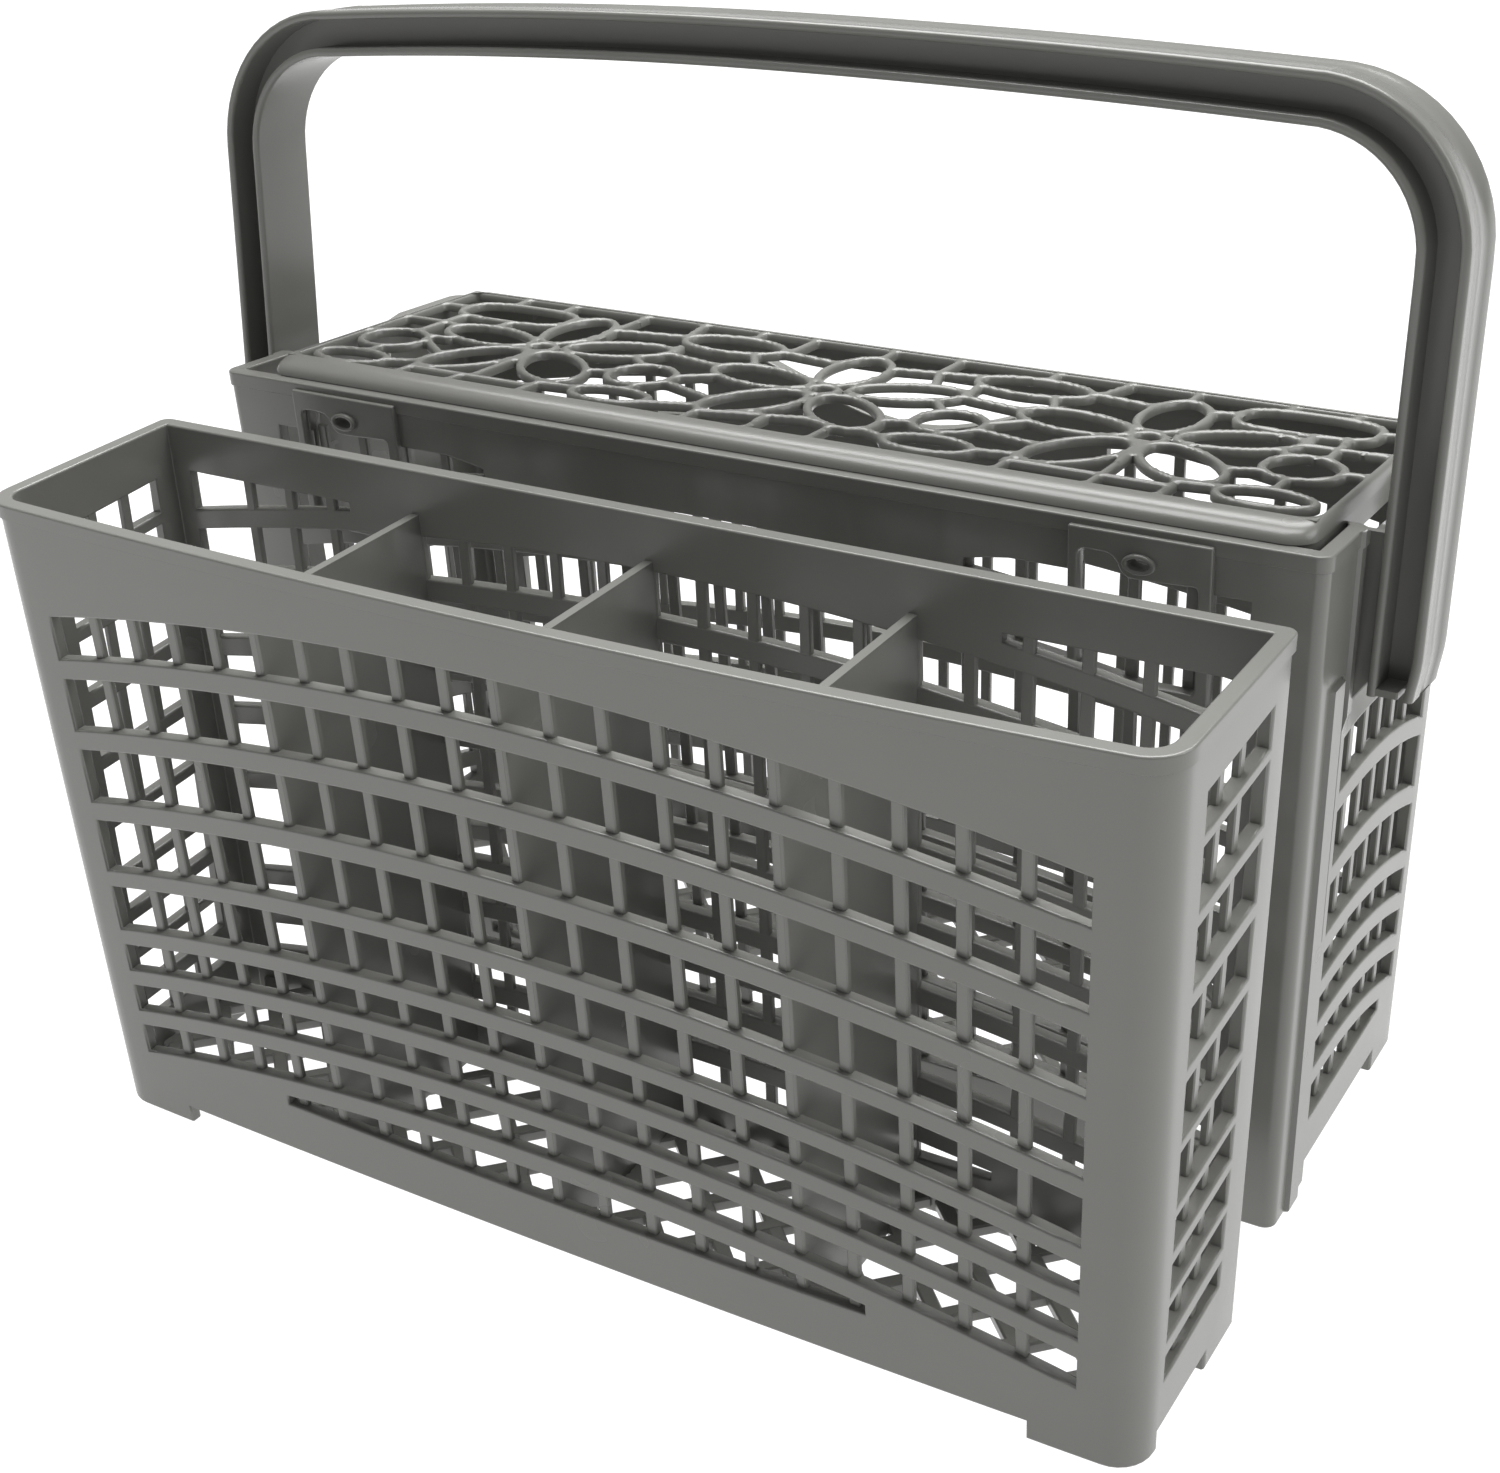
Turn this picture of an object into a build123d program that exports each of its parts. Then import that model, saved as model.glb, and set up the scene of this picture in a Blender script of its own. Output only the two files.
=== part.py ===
"""Cutlery basket for a dishwasher, in four moulded pieces.

A narrow front basket with four compartments stands before a deeper main basket. The main basket carries
a pierced lid with three flowers and a bail handle of I section.

Millimetres, +Z up, +X to the right along the length, -Y to the front, origin in the middle of the footprint.
"""
import os
from math import atan, cos, pi, radians, sin, tan

from build123d import *

os.makedirs("parts", exist_ok=True)

# Front basket
front_length = 240.0
front_depth = 49.5
front_height = 138.5
front_bow = 3.4
front_shift = 2.9
gap = 22.0

# Main basket: its rim falls towards the rear
main_length = 238.0
main_depth = 79.5
main_height = 141.5
rim_fall = 5.5

# Walls
wall = 2.2
floor = 2.5
draft = 0.95
foot_height = 5.0
foot_length = 20.0
foot_depth = 13.0
lip_out = 0.6
lip_height = 3.0
divider = 1.8
divider_drop = 9.0

# Windows: rows as fractions of a wall's height, given at the crown of the arch
columns = 20
bar = 2.3
window_span = 0.904
arch_sag = 0.079
long_rows = [
    (0.191, 0.238), (0.267, 0.310), (0.339, 0.383), (0.412, 0.484),
    (0.513, 0.596), (0.628, 0.711), (0.744, 0.823), (0.856, 0.919),
]
sliver_row = (0.115, 0.160)
front_end_rows = [
    (0.108, 0.144), (0.170, 0.220), (0.238, 0.285), (0.307, 0.354), (0.372, 0.448),
    (0.466, 0.545), (0.567, 0.646), (0.671, 0.751), (0.773, 0.852), (0.870, 0.921),
]
main_end_rows = [
    (0.198, 0.240), (0.269, 0.311), (0.339, 0.382), (0.413, 0.488), (0.516, 0.597), (0.622, 0.703),
]

# Hook panels on the main front wall and the handle recess in the main ends
panel_middle = 87.0
panel_width = 27.0
panel_proud = 1.0
recess_depth = 2.0
recess_start = 15.0
recess_width = 34.0
recess_bottom = 104.0
pin_radius = 2.0
pin_play = 0.15
boss_radius = 3.6
boss_heights = (0.82, 0.91)

# Lid
lid_length = 231.0
lid_depth = 73.0
lid_rise = 3.4
lid_skirt = 8.0
lid_plate = 2.6
lid_shoulder = 2.3
lid_wall = 2.0
lid_shift = 1.0
lid_rib = 2.0

# Handle: a bail of I section that leans back from its lower pins
handle_half = 132.6
handle_top = 215.1
handle_crown = 3.6
handle_lean = 5.5
handle_from = 16.1
handle_depth = 15.8
handle_height = 9.0
handle_flange = 1.8
handle_web = 2.2
handle_end = 109.5
handle_corner = 26.0

# Positions that follow from the sizes
total_depth = front_bow + front_depth + gap + main_depth + 2 * lip_out
front_y = -total_depth / 2 + lip_out + front_bow
main_y = front_y + front_depth + gap
lean = tan(radians(draft))
rim_tilt = atan(rim_fall / main_depth)
rim_depth = main_depth / cos(rim_tilt)
rim_plane = Plane(
    origin=(0, main_y + main_depth / 2, main_height - rim_fall / 2),
    x_dir=(1, 0, 0),
    z_dir=(0, sin(rim_tilt), cos(rim_tilt)),
)
handle_y = main_y + handle_from + handle_depth / 2
handle_inside = handle_half - handle_height
slope = radians(handle_lean)
pivot = boss_heights[0] * main_height
handle_plane = Plane(
    origin=(0, handle_y, pivot),
    x_dir=(1, 0, 0),
    z_dir=(0, -cos(slope), sin(slope)),
)
arm_top = (handle_top - pivot) / cos(slope)
arm_end = (handle_end - pivot) / cos(slope)
pins = [(handle_y - main_y + tan(slope) * (h * main_height - pivot), h * main_height) for h in boss_heights]


def wall_plane(x, y):
    """An upright plane facing the front, x along the wall and y up."""
    return Plane(origin=(x, y, 0), x_dir=(1, 0, 0), z_dir=(0, -1, 0))


def end_plane(x, y):
    """An upright plane facing the right end, x from front to rear and y up."""
    return Plane(origin=(x, y, 0), x_dir=(0, 1, 0), z_dir=(1, 0, 0))


def long_windows(length, height, count, rows, sliver):
    """Outlines of the windows in a long wall: arched rows, side edges leaning with the draft."""
    half = window_span * length / 2
    sag = arch_sag * height

    def corner(s, z):
        low = z * height - sag * s * s
        return (s * (half - lean * (height - low)), low)

    outlines = []
    for low, high in rows:
        for i in range(count):
            left = -1 + (2 * i) / count + (bar / 2 / half if i else 0)
            right = -1 + (2 * i + 2) / count - (bar / 2 / half if i < count - 1 else 0)
            outlines.append([corner(left, low), corner(right, low), corner(right, high), corner(left, high)])
    base = sliver[0] * height
    for i in range(count):
        left = -1 + (2 * i) / count + bar / 2 / half
        right = -1 + (2 * i + 2) / count - bar / 2 / half
        top_left = corner(left, sliver[1])
        top_right = corner(right, sliver[1])
        if min(top_left[1], top_right[1]) > base + 1.5:
            outlines.append([(top_left[0], base), (top_right[0], base), top_right, top_left])
    return outlines


def end_windows(first, last, count, height, rows, rise):
    """Outlines of the windows in an end wall; rise(y) bends a row up or down."""
    pitch = (last - first) / count
    outlines = []
    for low, high in rows:
        for i in range(count):
            near = first + i * pitch + (bar / 2 if i else 0)
            far = first + (i + 1) * pitch - (bar / 2 if i < count - 1 else 0)
            outlines.append([
                (near, low * height + rise(near)), (far, low * height + rise(far)),
                (far, high * height + rise(far)), (near, high * height + rise(near)),
            ])
    return outlines


def shapes(outlines):
    """The outlines as faces, added to the sketch in one go."""
    add([Polygon(*points, align=None, mode=Mode.PRIVATE) for points in outlines])


def softened(points, radii):
    """A polygon whose corners are rounded off with two facets each."""
    result = []
    for i, radius in enumerate(radii):
        here = Vector(*points[i])
        back = (Vector(*points[i - 1]) - here).normalized()
        onward = (Vector(*points[(i + 1) % len(points)]) - here).normalized()
        if radius:
            opening = radians(back.get_angle(onward)) / 2
            reach = radius / tan(opening)
            middle = (back + onward).normalized() * (radius / sin(opening) - radius)
            result += [here + back * reach, here + middle, here + onward * reach]
        else:
            result.append(here)
    return [(p.X, p.Y) for p in result]


def block(x, y, long, deep, radius):
    """A rectangle about a point, with softened corners."""
    corners = [(x - long / 2, y - deep / 2), (x + long / 2, y - deep / 2),
               (x + long / 2, y + deep / 2), (x - long / 2, y + deep / 2)]
    return softened(corners, [radius] * 4)


def oval(x, y, long, short, turn, sides=10):
    """Points of an ellipse with few sides."""
    c = cos(radians(turn))
    s = sin(radians(turn))
    ring = []
    for i in range(sides):
        a = 2 * pi * i / sides
        u = long * cos(a)
        v = short * sin(a)
        ring.append((x + c * u - s * v, y + s * u + c * v))
    return ring


# Front basket
half = front_length / 2
side = window_span / 2
dividers_at = [-side * half, 0.0, side * half]
bow_side = front_bow * (1 - side * side)
with BuildPart() as front_basket:
    top = Plane(origin=(front_shift, front_y, front_height))
    with BuildSketch(top) as outline:
        corners = [(-half, front_depth), (-half, 0), (-side * half, -bow_side), (0, -front_bow),
                   (side * half, -bow_side), (half, 0), (half, front_depth)]
        Polygon(*softened(corners, [3.0, 7.0, 0, 0, 0, 7.0, 3.0]), align=None)
    extrude(amount=-(front_height - foot_height), taper=draft)
    with BuildSketch(top):
        offset(outline.sketch_local, amount=lip_out, kind=Kind.INTERSECTION, mode=Mode.ADD)
    extrude(amount=-lip_height)
    # Corner feet, the outline of the floor carried down
    shrink = lean * (front_height - foot_height)
    with BuildSketch(Plane(origin=(front_shift, front_y, 0))):
        for s in (-1, 1):
            x = s * (half - shrink - foot_length / 2)
            for y in (shrink + foot_depth / 2, front_depth - shrink - foot_depth / 2):
                Polygon(*block(x, y, foot_length, foot_depth, 4.0), align=None)
    extrude(amount=foot_height + floor / 2)
    # The hollow, then the dividers in it
    with BuildSketch(top):
        offset(outline.sketch_local, amount=-wall, kind=Kind.INTERSECTION, mode=Mode.ADD)
    extrude(amount=-(front_height - foot_height - floor), taper=draft, mode=Mode.SUBTRACT)
    for x in dividers_at:
        bow = front_bow * (1 - (x / half) ** 2)
        high = front_height - divider_drop
        low = foot_height + floor / 2
        near_high = lean * divider_drop - bow + wall / 2
        near_low = lean * (front_height - low) - bow + wall / 2
        with BuildSketch(end_plane(front_shift + x, front_y)):
            Polygon(
                (near_low, low), (front_depth - lean * (front_height - low) - wall / 2, low),
                (front_depth - lean * divider_drop - wall / 2, high), (near_high, high), align=None,
            )
        extrude(amount=divider / 2, both=True)
    # Windows: the front wall in full, the rear wall with one to a compartment
    with BuildSketch(wall_plane(front_shift, front_y)):
        shapes(long_windows(front_length, front_height, columns, long_rows, sliver_row))
    extrude(amount=9.0, both=True, mode=Mode.SUBTRACT)
    with BuildSketch(wall_plane(front_shift, front_y + front_depth)):
        shapes(long_windows(front_length, front_height, 4, long_rows, sliver_row))
    extrude(amount=7.0, both=True, mode=Mode.SUBTRACT)
    end_rows = end_windows(
        14.0, front_depth - 9.0, 3, front_height, front_end_rows, lambda y: 0.05 * (y - front_depth / 2),
    )
    for s in (-1, 1):
        with BuildSketch(end_plane(front_shift + s * half, front_y)):
            shapes(end_rows)
        extrude(amount=7.0, both=True, mode=Mode.SUBTRACT)
    # Diamonds in the floor
    cell = window_span * front_length / 4
    with BuildSketch(Plane(origin=(front_shift, front_y + front_depth / 2, foot_height))):
        with GridLocations(cell, 1, 4, 1):
            with GridLocations(cell / 2.3, 1, 2, 1):
                Polygon((-10.0, 0), (0, -14.0), (10.0, 0), (0, 14.0), align=None)
    extrude(amount=floor, mode=Mode.SUBTRACT)
front_basket.part.label = "front_basket"
export_step(front_basket.part, "parts/front_basket.step")

# Main basket
half = main_length / 2
rear_height = main_height - rim_fall
shrink = lean * (main_height - foot_height)


def end_x(z):
    """Where the outside of the right end wall stands at a height."""
    return half - lean * (main_height - z)


def main_fall(y):
    """The rows of the end walls bend down to the rear."""
    return -8.0 * ((y - 0.31 * main_depth) / (0.57 * main_depth)) ** 2


with BuildPart() as main_basket:
    top = Plane(origin=(0, main_y, main_height))
    with BuildSketch(top) as outline:
        Polygon(*block(0, main_depth / 2, main_length, main_depth, 5.0), align=None)
    extrude(amount=-(main_height - foot_height), taper=draft)
    with BuildSketch(Plane(origin=(0, main_y, 0))):
        for s in (-1, 1):
            x = s * (half - shrink - foot_length / 2)
            for y in (shrink + foot_depth / 2, main_depth - shrink - foot_depth / 2):
                Polygon(*block(x, y, foot_length, foot_depth, 3.0), align=None)
    extrude(amount=foot_height + floor / 2)
    # Raised pads on the corners of the ends, cut off square at the top
    pad_top = 0.81 * main_height
    for s in (-1, 1):
        with BuildSketch(wall_plane(0, main_y + 10.0)):
            Polygon(
                (s * (end_x(foot_height) - 1), foot_height), (s * (end_x(foot_height) + 0.9), foot_height),
                (s * (end_x(pad_top) + 0.9), pad_top), (s * (end_x(pad_top) - 1), pad_top), align=None,
            )
        extrude(amount=4.0, both=True)
    # The hollow; the ends are thicker where the handle recess is let in
    with BuildSketch(top):
        offset(outline.sketch_local, amount=-wall, kind=Kind.INTERSECTION, mode=Mode.ADD)
    extrude(amount=-(main_height - foot_height - floor), taper=draft, mode=Mode.SUBTRACT)
    recess_floor = end_x(recess_bottom) - recess_depth
    for s in (-1, 1):
        low = recess_bottom - 3.0
        inside = recess_floor - wall
        with BuildSketch(wall_plane(0, main_y + recess_start + recess_width / 2)):
            Polygon(
                (s * inside, low), (s * (end_x(low) - wall / 2), low),
                (s * (end_x(main_height) - wall / 2), main_height), (s * inside, main_height), align=None,
            )
        extrude(amount=recess_width / 2 + 2.0, both=True)
    # The seat of the lid: the thick parts end below the rim
    with BuildSketch(rim_plane.offset(lid_rise - lid_skirt)):
        Rectangle(main_length - 2 * wall, rim_depth - 2 * wall)
    extrude(amount=30.0, mode=Mode.SUBTRACT)
    # The sloping rim with its lip
    with BuildSketch(rim_plane):
        Rectangle(main_length + 40, main_depth + 40)
    extrude(amount=30.0, mode=Mode.SUBTRACT)
    with BuildSketch(rim_plane):
        Polygon(*block(0, 0, main_length + 2 * lip_out, rim_depth + 2 * lip_out, 5.0), align=None)
        Rectangle(main_length - 2 * wall, rim_depth - 2 * wall, mode=Mode.SUBTRACT)
    extrude(amount=-lip_height)
    # Recess, and bosses with pins for the handle
    for s in (-1, 1):
        with BuildSketch(end_plane(s * recess_floor, main_y)):
            middle = recess_start + recess_width / 2
            Polygon(*block(middle, recess_bottom + 40.0, recess_width, 80.0, 9.0), align=None)
        extrude(amount=s * 8.0, mode=Mode.SUBTRACT)
        with BuildSketch(end_plane(s * (recess_floor - wall / 2), main_y)):
            shapes([oval(y, z, boss_radius, boss_radius, 0.0, 8) for y, z in pins])
        extrude(amount=s * (handle_inside - recess_floor + wall / 2))
        with BuildSketch(end_plane(s * (recess_floor - wall / 2), main_y)):
            shapes([oval(y, z, pin_radius, pin_radius, 0.0, 8) for y, z in pins])
        extrude(amount=s * (handle_inside - recess_floor + wall / 2 + handle_flange + 0.6))
    # Hook panels
    for x in (-panel_middle, panel_middle):
        high = main_height - lip_height / 2
        low = 0.83 * main_height
        with BuildSketch(end_plane(x, main_y)):
            Polygon(
                (lean * (main_height - low) - panel_proud, low), (lean * (main_height - low) + 1.0, low),
                (lean * (main_height - high) + 1.0, high), (lean * (main_height - high) - panel_proud, high),
                align=None,
            )
        extrude(amount=panel_width / 2, both=True)
        with BuildSketch(wall_plane(x, main_y - panel_proud + 1.0)):
            Polygon(*oval(0.5, main_height - 6.5, 4.4, 2.8, 0.0), align=None)
        extrude(amount=2.2)
        with BuildSketch(wall_plane(x, main_y)):
            Polygon(
                (-11.0, main_height - 19.0), (9.0, main_height - 19.0), (9.0, main_height - 11.0),
                (-3.5, main_height - 10.5), (-6.0, main_height - 6.0), (-11.0, main_height - 6.0), align=None,
            )
            Polygon(*oval(0.5, main_height - 6.5, 2.4, 1.3, 0.0, 8), align=None)
        extrude(amount=6.0, both=True, mode=Mode.SUBTRACT)
    # Windows: four columns in the long walls, all of them in the ends
    with BuildSketch(wall_plane(0, main_y)):
        shapes(long_windows(main_length, rear_height, 4, long_rows[:-1], sliver_row))
    extrude(amount=7.0, both=True, mode=Mode.SUBTRACT)
    with BuildSketch(wall_plane(0, main_y + main_depth)):
        shapes(long_windows(main_length, rear_height, 4, long_rows, sliver_row))
    extrude(amount=7.0, both=True, mode=Mode.SUBTRACT)
    end_rows = end_windows(18.5, main_depth - 8.0, 6, main_height, main_end_rows, main_fall)
    end_rows += end_windows(18.5, 0.56 * main_depth, 3, main_height, [(0.112, 0.160)], lambda y: 0.0)
    for s in (-1, 1):
        with BuildSketch(end_plane(s * half, main_y)):
            shapes(end_rows)
        extrude(amount=7.0, both=True, mode=Mode.SUBTRACT)
    # Diamonds in the floor
    with BuildSketch(Plane(origin=(0, main_y + main_depth / 2, foot_height))):
        with GridLocations(window_span * main_length / 6, (main_depth - 2 * shrink) / 2.3, 6, 2):
            Polygon((-14.0, 0), (0, -13.0), (14.0, 0), (0, 13.0), align=None)
    extrude(amount=floor, mode=Mode.SUBTRACT)
main_basket.part.label = "main_basket"
export_step(main_basket.part, "parts/main_basket.step")

# Lid: flowers and ovals drawn on a sheet of 220 by 66, stretched to the pierced field
sheet_x = 220.0
sheet_y = 66.0
field_x = lid_length - 6.0
field_y = lid_depth - 12.5
flowers = [(-68.3, 31.3), (0.0, 31.3), (68.3, 31.3)]
petals = [
    (-0.5, 16.8, 12.0, 5.0, 92.0), (15.0, 7.5, 11.0, 5.2, 24.0), (-15.5, 4.0, 10.6, 5.2, -12.0),
    (-8.0, -13.8, 10.8, 5.2, 60.0), (11.5, -12.0, 11.5, 5.4, -50.0),
]
ovals = [
    (-90.5, 55.3, 13.5, 6.3), (-34.0, 54.5, 11.0, 6.0), (35.0, 54.8, 10.5, 6.0), (89.5, 54.5, 12.5, 6.3),
    (-101.0, 24.0, 6.6, 6.6), (-37.5, 24.3, 6.4, 6.4), (31.5, 24.0, 6.4, 6.4), (97.5, 27.0, 6.3, 6.3),
    (-100.0, 6.5, 8.6, 4.6), (-36.5, 6.5, 8.5, 4.4), (34.0, 7.0, 8.3, 4.4), (98.5, 7.0, 7.8, 4.2),
]
ribs = [
    (-97, 70, -96.5, 60), (-84, 70, -83, 60), (-64, 70, -61, 38), (-49, 70, -44, 54), (-33.5, 70, -33.5, 59),
    (-21.5, 70, -24, 54), (-1, 70, -1, 58), (13.5, 70, 11, 42), (35, 70, 35, 59), (50.5, 70, 45, 55),
    (66, 70, 67.5, 58), (83, 70, 83, 59), (95.5, 70, 95.5, 59), (-114, 55.5, -102, 55), (-114, 41, -88, 40),
    (-102, 55, -101, 29), (-62, 52, -44, 56), (-44, 41, -22, 37), (-24, 55, -5, 51), (11, 54, 27, 55),
    (46, 55, 63, 51), (26, 41, 47, 37), (-114, 6, -107, 7), (-37, 20, -36.5, 9), (32, 20, 33, 9),
    (98, 22, 98.5, 9), (-94, 20, -78, 14), (-33, 20, -12, 13), (37, 20, 57, 14), (-57, 15, -42, 24),
    (13, 15, 27, 24), (82, 15, 93, 24), (-84, 10, -84, -4), (-54, 10, -54, -4), (-84, 5, -54, 5),
    (-13, 10, -13, -4), (1, 12, 1, -4), (15, 12, 13, -4), (52, 10, 52, -4), (82, 10, 82, -4),
    (52, 5, 82, 5), (98, 33, 98, 70), (97, 40, 114, 40),
]


def stretched(points):
    """From the drawing sheet to the pierced field."""
    return [(x * field_x / sheet_x, (y - sheet_y / 2) * field_y / sheet_y + 2.5) for x, y in points]


def strip(x0, y0, x1, y1):
    """A straight rib between two points."""
    reach = ((x1 - x0) ** 2 + (y1 - y0) ** 2) ** 0.5
    dx = -(y1 - y0) / reach * lid_rib / 2
    dy = (x1 - x0) / reach * lid_rib / 2
    return [(x0 + dx, y0 + dy), (x1 + dx, y1 + dy), (x1 - dx, y1 - dy), (x0 - dx, y0 - dy)]


rings = [(cx + x, cy + y, a, b, turn, 8) for cx, cy in flowers for x, y, a, b, turn in petals]
rings += [(x, y, a, b, 0.0, 8) for x, y, a, b in ovals]
rings += [(x, y, 3.0, 3.0, 0.0, 6) for x, y in flowers]
lid_top = rim_plane.offset(lid_rise)
lid_top.origin = lid_top.origin + Vector(lid_shift, 0, 0)
with BuildPart() as lid:
    with BuildSketch(lid_top):
        Polygon(*block(0, 0, lid_length, lid_depth, 7.0), align=None)
    extrude(amount=-lid_skirt)
    chamfer(lid.faces().filter_by(lid_top).sort_by(Axis.Z)[-1].edges(), lid_shoulder)
    with BuildSketch(lid_top.offset(-lid_plate)):
        Polygon(*block(0, 0, lid_length - 2 * lid_wall, lid_depth - 2 * lid_wall, 5.0), align=None)
    extrude(amount=-lid_skirt, mode=Mode.SUBTRACT)
    with BuildSketch(lid_top) as pierced:
        Polygon(*block(0, 2.5, field_x, field_y, 3.0), align=None)
        webs = [stretched(oval(x, y, a + lid_rib, b + lid_rib, turn, n)) for x, y, a, b, turn, n in rings]
        webs += [stretched(strip(*rib)) for rib in ribs]
        add([Polygon(*w, align=None, mode=Mode.PRIVATE) for w in webs], mode=Mode.SUBTRACT)
        shapes([stretched(oval(*ring)) for ring in rings])
    openings = pierced.sketch.faces().filter_by(lambda f: f.area > 12.0)
    extrude(openings, amount=lid_plate + 1.0, dir=lid_top.z_dir * -1, mode=Mode.SUBTRACT)
lid.part.label = "lid"
export_step(lid.part, "parts/lid.step")


def bail(inset):
    """Outline of the bail in its own plane, set in from its outside, standing on the arm ends."""
    w = handle_half - inset
    radius = handle_corner - inset
    straight = w - radius
    steps = 4
    right = []
    for i in range(steps):
        x = straight * i / steps
        right.append((x, arm_top - inset - handle_crown * (x / handle_half) ** 2))
    spring = arm_top - inset - handle_crown * (straight / handle_half) ** 2 - radius
    for i in range(steps + 1):
        a = pi / 2 * (1 - i / steps)
        right.append((straight + radius * cos(a), spring + radius * sin(a)))
    right.append((w, arm_end))
    return [(-x, z) for x, z in reversed(right[1:])] + right


# Handle
with BuildPart() as handle:
    for outer, inner, depth in (
        (0.0, handle_flange, handle_depth),
        (handle_flange / 2, handle_height - handle_flange / 2, handle_web),
        (handle_height - handle_flange, handle_height, handle_depth),
    ):
        with BuildSketch(handle_plane):
            Polygon(*bail(outer), align=None)
            Polygon(*bail(inner), align=None, mode=Mode.SUBTRACT)
        extrude(amount=depth / 2, both=True)
    for s in (-1, 1):
        with BuildSketch(handle_plane):
            Polygon(
                (s * handle_half, arm_end), (s * (handle_half - 2.5), arm_end),
                (s * handle_half, arm_end + 18.0), align=None,
            )
        extrude(amount=handle_depth, both=True, mode=Mode.SUBTRACT)
        with BuildSketch(end_plane(s * (handle_inside - 1.0), main_y)):
            hole = pin_radius + pin_play
            shapes([oval(y, z, hole, hole, 0.0, 8) for y, z in pins])
        extrude(amount=s * (handle_flange + 2.0), mode=Mode.SUBTRACT)
handle.part.label = "handle"
export_step(handle.part, "parts/handle.step")
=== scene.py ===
# %% [markdown]
# # A cutlery basket for a dishwasher
# The object has four moulded pieces in one grey plastic: a narrow front basket, a deeper main basket, a
# pierced lid with three flowers, and a bail handle. The imported CAD model is loaded first as a fixed frame.
# Every piece made here is worked out in the CAD's own millimetres, so it lies where the CAD solid lies.

# %% Load the frame
from math import atan, cos, radians, sin, tan
from types import SimpleNamespace

import bpy
import numpy as np
from mathutils import Matrix, Vector


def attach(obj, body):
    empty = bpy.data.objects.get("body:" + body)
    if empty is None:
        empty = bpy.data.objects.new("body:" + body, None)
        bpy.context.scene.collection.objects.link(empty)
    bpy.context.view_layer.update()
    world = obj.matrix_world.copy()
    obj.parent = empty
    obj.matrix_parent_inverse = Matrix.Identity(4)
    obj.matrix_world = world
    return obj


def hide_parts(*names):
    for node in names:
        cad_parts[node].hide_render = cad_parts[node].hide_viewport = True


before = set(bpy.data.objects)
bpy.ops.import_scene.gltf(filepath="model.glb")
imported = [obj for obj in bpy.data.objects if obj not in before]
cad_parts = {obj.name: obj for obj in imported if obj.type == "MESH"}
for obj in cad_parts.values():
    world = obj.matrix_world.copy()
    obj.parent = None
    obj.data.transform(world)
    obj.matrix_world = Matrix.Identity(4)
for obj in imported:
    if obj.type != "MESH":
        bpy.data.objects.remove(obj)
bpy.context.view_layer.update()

# %% [markdown]
# ## The camera
# The photograph looks at the basket from the right and from above. The camera's place and turn were found
# from the straight rims of the two baskets.


# %% Camera at the photograph's angle
def new_object(name, data):
    """An object of some data, put into the scene."""
    made = bpy.data.objects.new(name, data)
    bpy.context.collection.objects.link(made)
    return made


camera_right = (0.85471, 0.51704, -0.04632)
camera_up = (-0.20252, 0.41428, 0.88733)
camera_back = (0.47797, -0.74903, 0.45880)
camera_place = (0.2269, -0.34725, 0.29416)
lens = bpy.data.cameras.new("camera")
lens.sensor_fit = "HORIZONTAL"
lens.sensor_width = 36.0
lens.lens = 55.9
lens.clip_start = 0.01
camera = new_object("camera", lens)
turn = Matrix((camera_right, camera_up, camera_back)).transposed()
camera.matrix_world = Matrix.Translation(camera_place) @ turn.to_4x4()
bpy.context.scene.camera = camera
print("camera lens", lens.lens, "mm")

# %% [markdown]
# ## Shader maths as Python expressions
# A node tree is easier to read as a sum. This small class wraps one output socket, so that a sum written in
# Python adds its Math nodes by itself.


# %% A socket that does arithmetic
class Socket:
    """Wraps an output socket of a node tree; the operators add Math nodes."""

    def __init__(self, tree, out):
        self.tree = tree
        self.out = out

    def node(self, kind, settings=None, output=0, **inputs):
        """Makes a node of a kind, sets its settings first, then its inputs by name or number."""
        made = self.tree.nodes.new(kind)
        for name, value in (settings or {}).items():
            setattr(made, name, value)
        for name, value in inputs.items():
            key = int(name[1:]) if name[0] == "i" and name[1:].isdigit() else name.replace("_", " ")
            if isinstance(value, Socket):
                self.tree.links.new(value.out, made.inputs[key])
            else:
                made.inputs[key].default_value = value
        return Socket(self.tree, made.outputs[output])

    def math(self, operation, first, second):
        return self.node("ShaderNodeMath", {"operation": operation}, i0=first, i1=second)

    def __add__(self, other):
        return self.math("ADD", self, other)

    def __radd__(self, other):
        return self.math("ADD", other, self)

    def __mul__(self, other):
        return self.math("MULTIPLY", self, other)

    def __rmul__(self, other):
        return self.math("MULTIPLY", other, self)


# %% [markdown]
# ## Grey moulded plastic
# All four pieces are injection moulded in one grey plastic with a satin gloss. Two soft clouds vary its
# tone and its gloss by a few percent, as flow lines do on the real mouldings, and a fine grain breaks up
# the highlights. The patterns stand on Object coordinates, because each piece has its place in its mesh.

# %% The plastic
darker_grey = (0.157, 0.157, 0.146, 1.0)
lighter_grey = (0.188, 0.188, 0.175, 1.0)
grey = bpy.data.materials.new("grey_plastic_moulded")
grey.use_nodes = True
tree = grey.node_tree
shader = tree.nodes["Principled BSDF"]
start = Socket(tree, tree.nodes.new("ShaderNodeTexCoord").outputs["Object"])
cloud = start.node("ShaderNodeTexNoise", Vector=start, Scale=38.0, Detail=3.0, Roughness=0.55)
streak_place = start.node("ShaderNodeMapping", Vector=start, Scale=(9.0, 9.0, 70.0))
streak = start.node("ShaderNodeTexNoise", Vector=streak_place, Scale=1.0, Detail=2.0)
grain = start.node("ShaderNodeTexNoise", Vector=start, Scale=2600.0, Detail=2.0)
tone = 0.6 * cloud + 0.4 * streak
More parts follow.
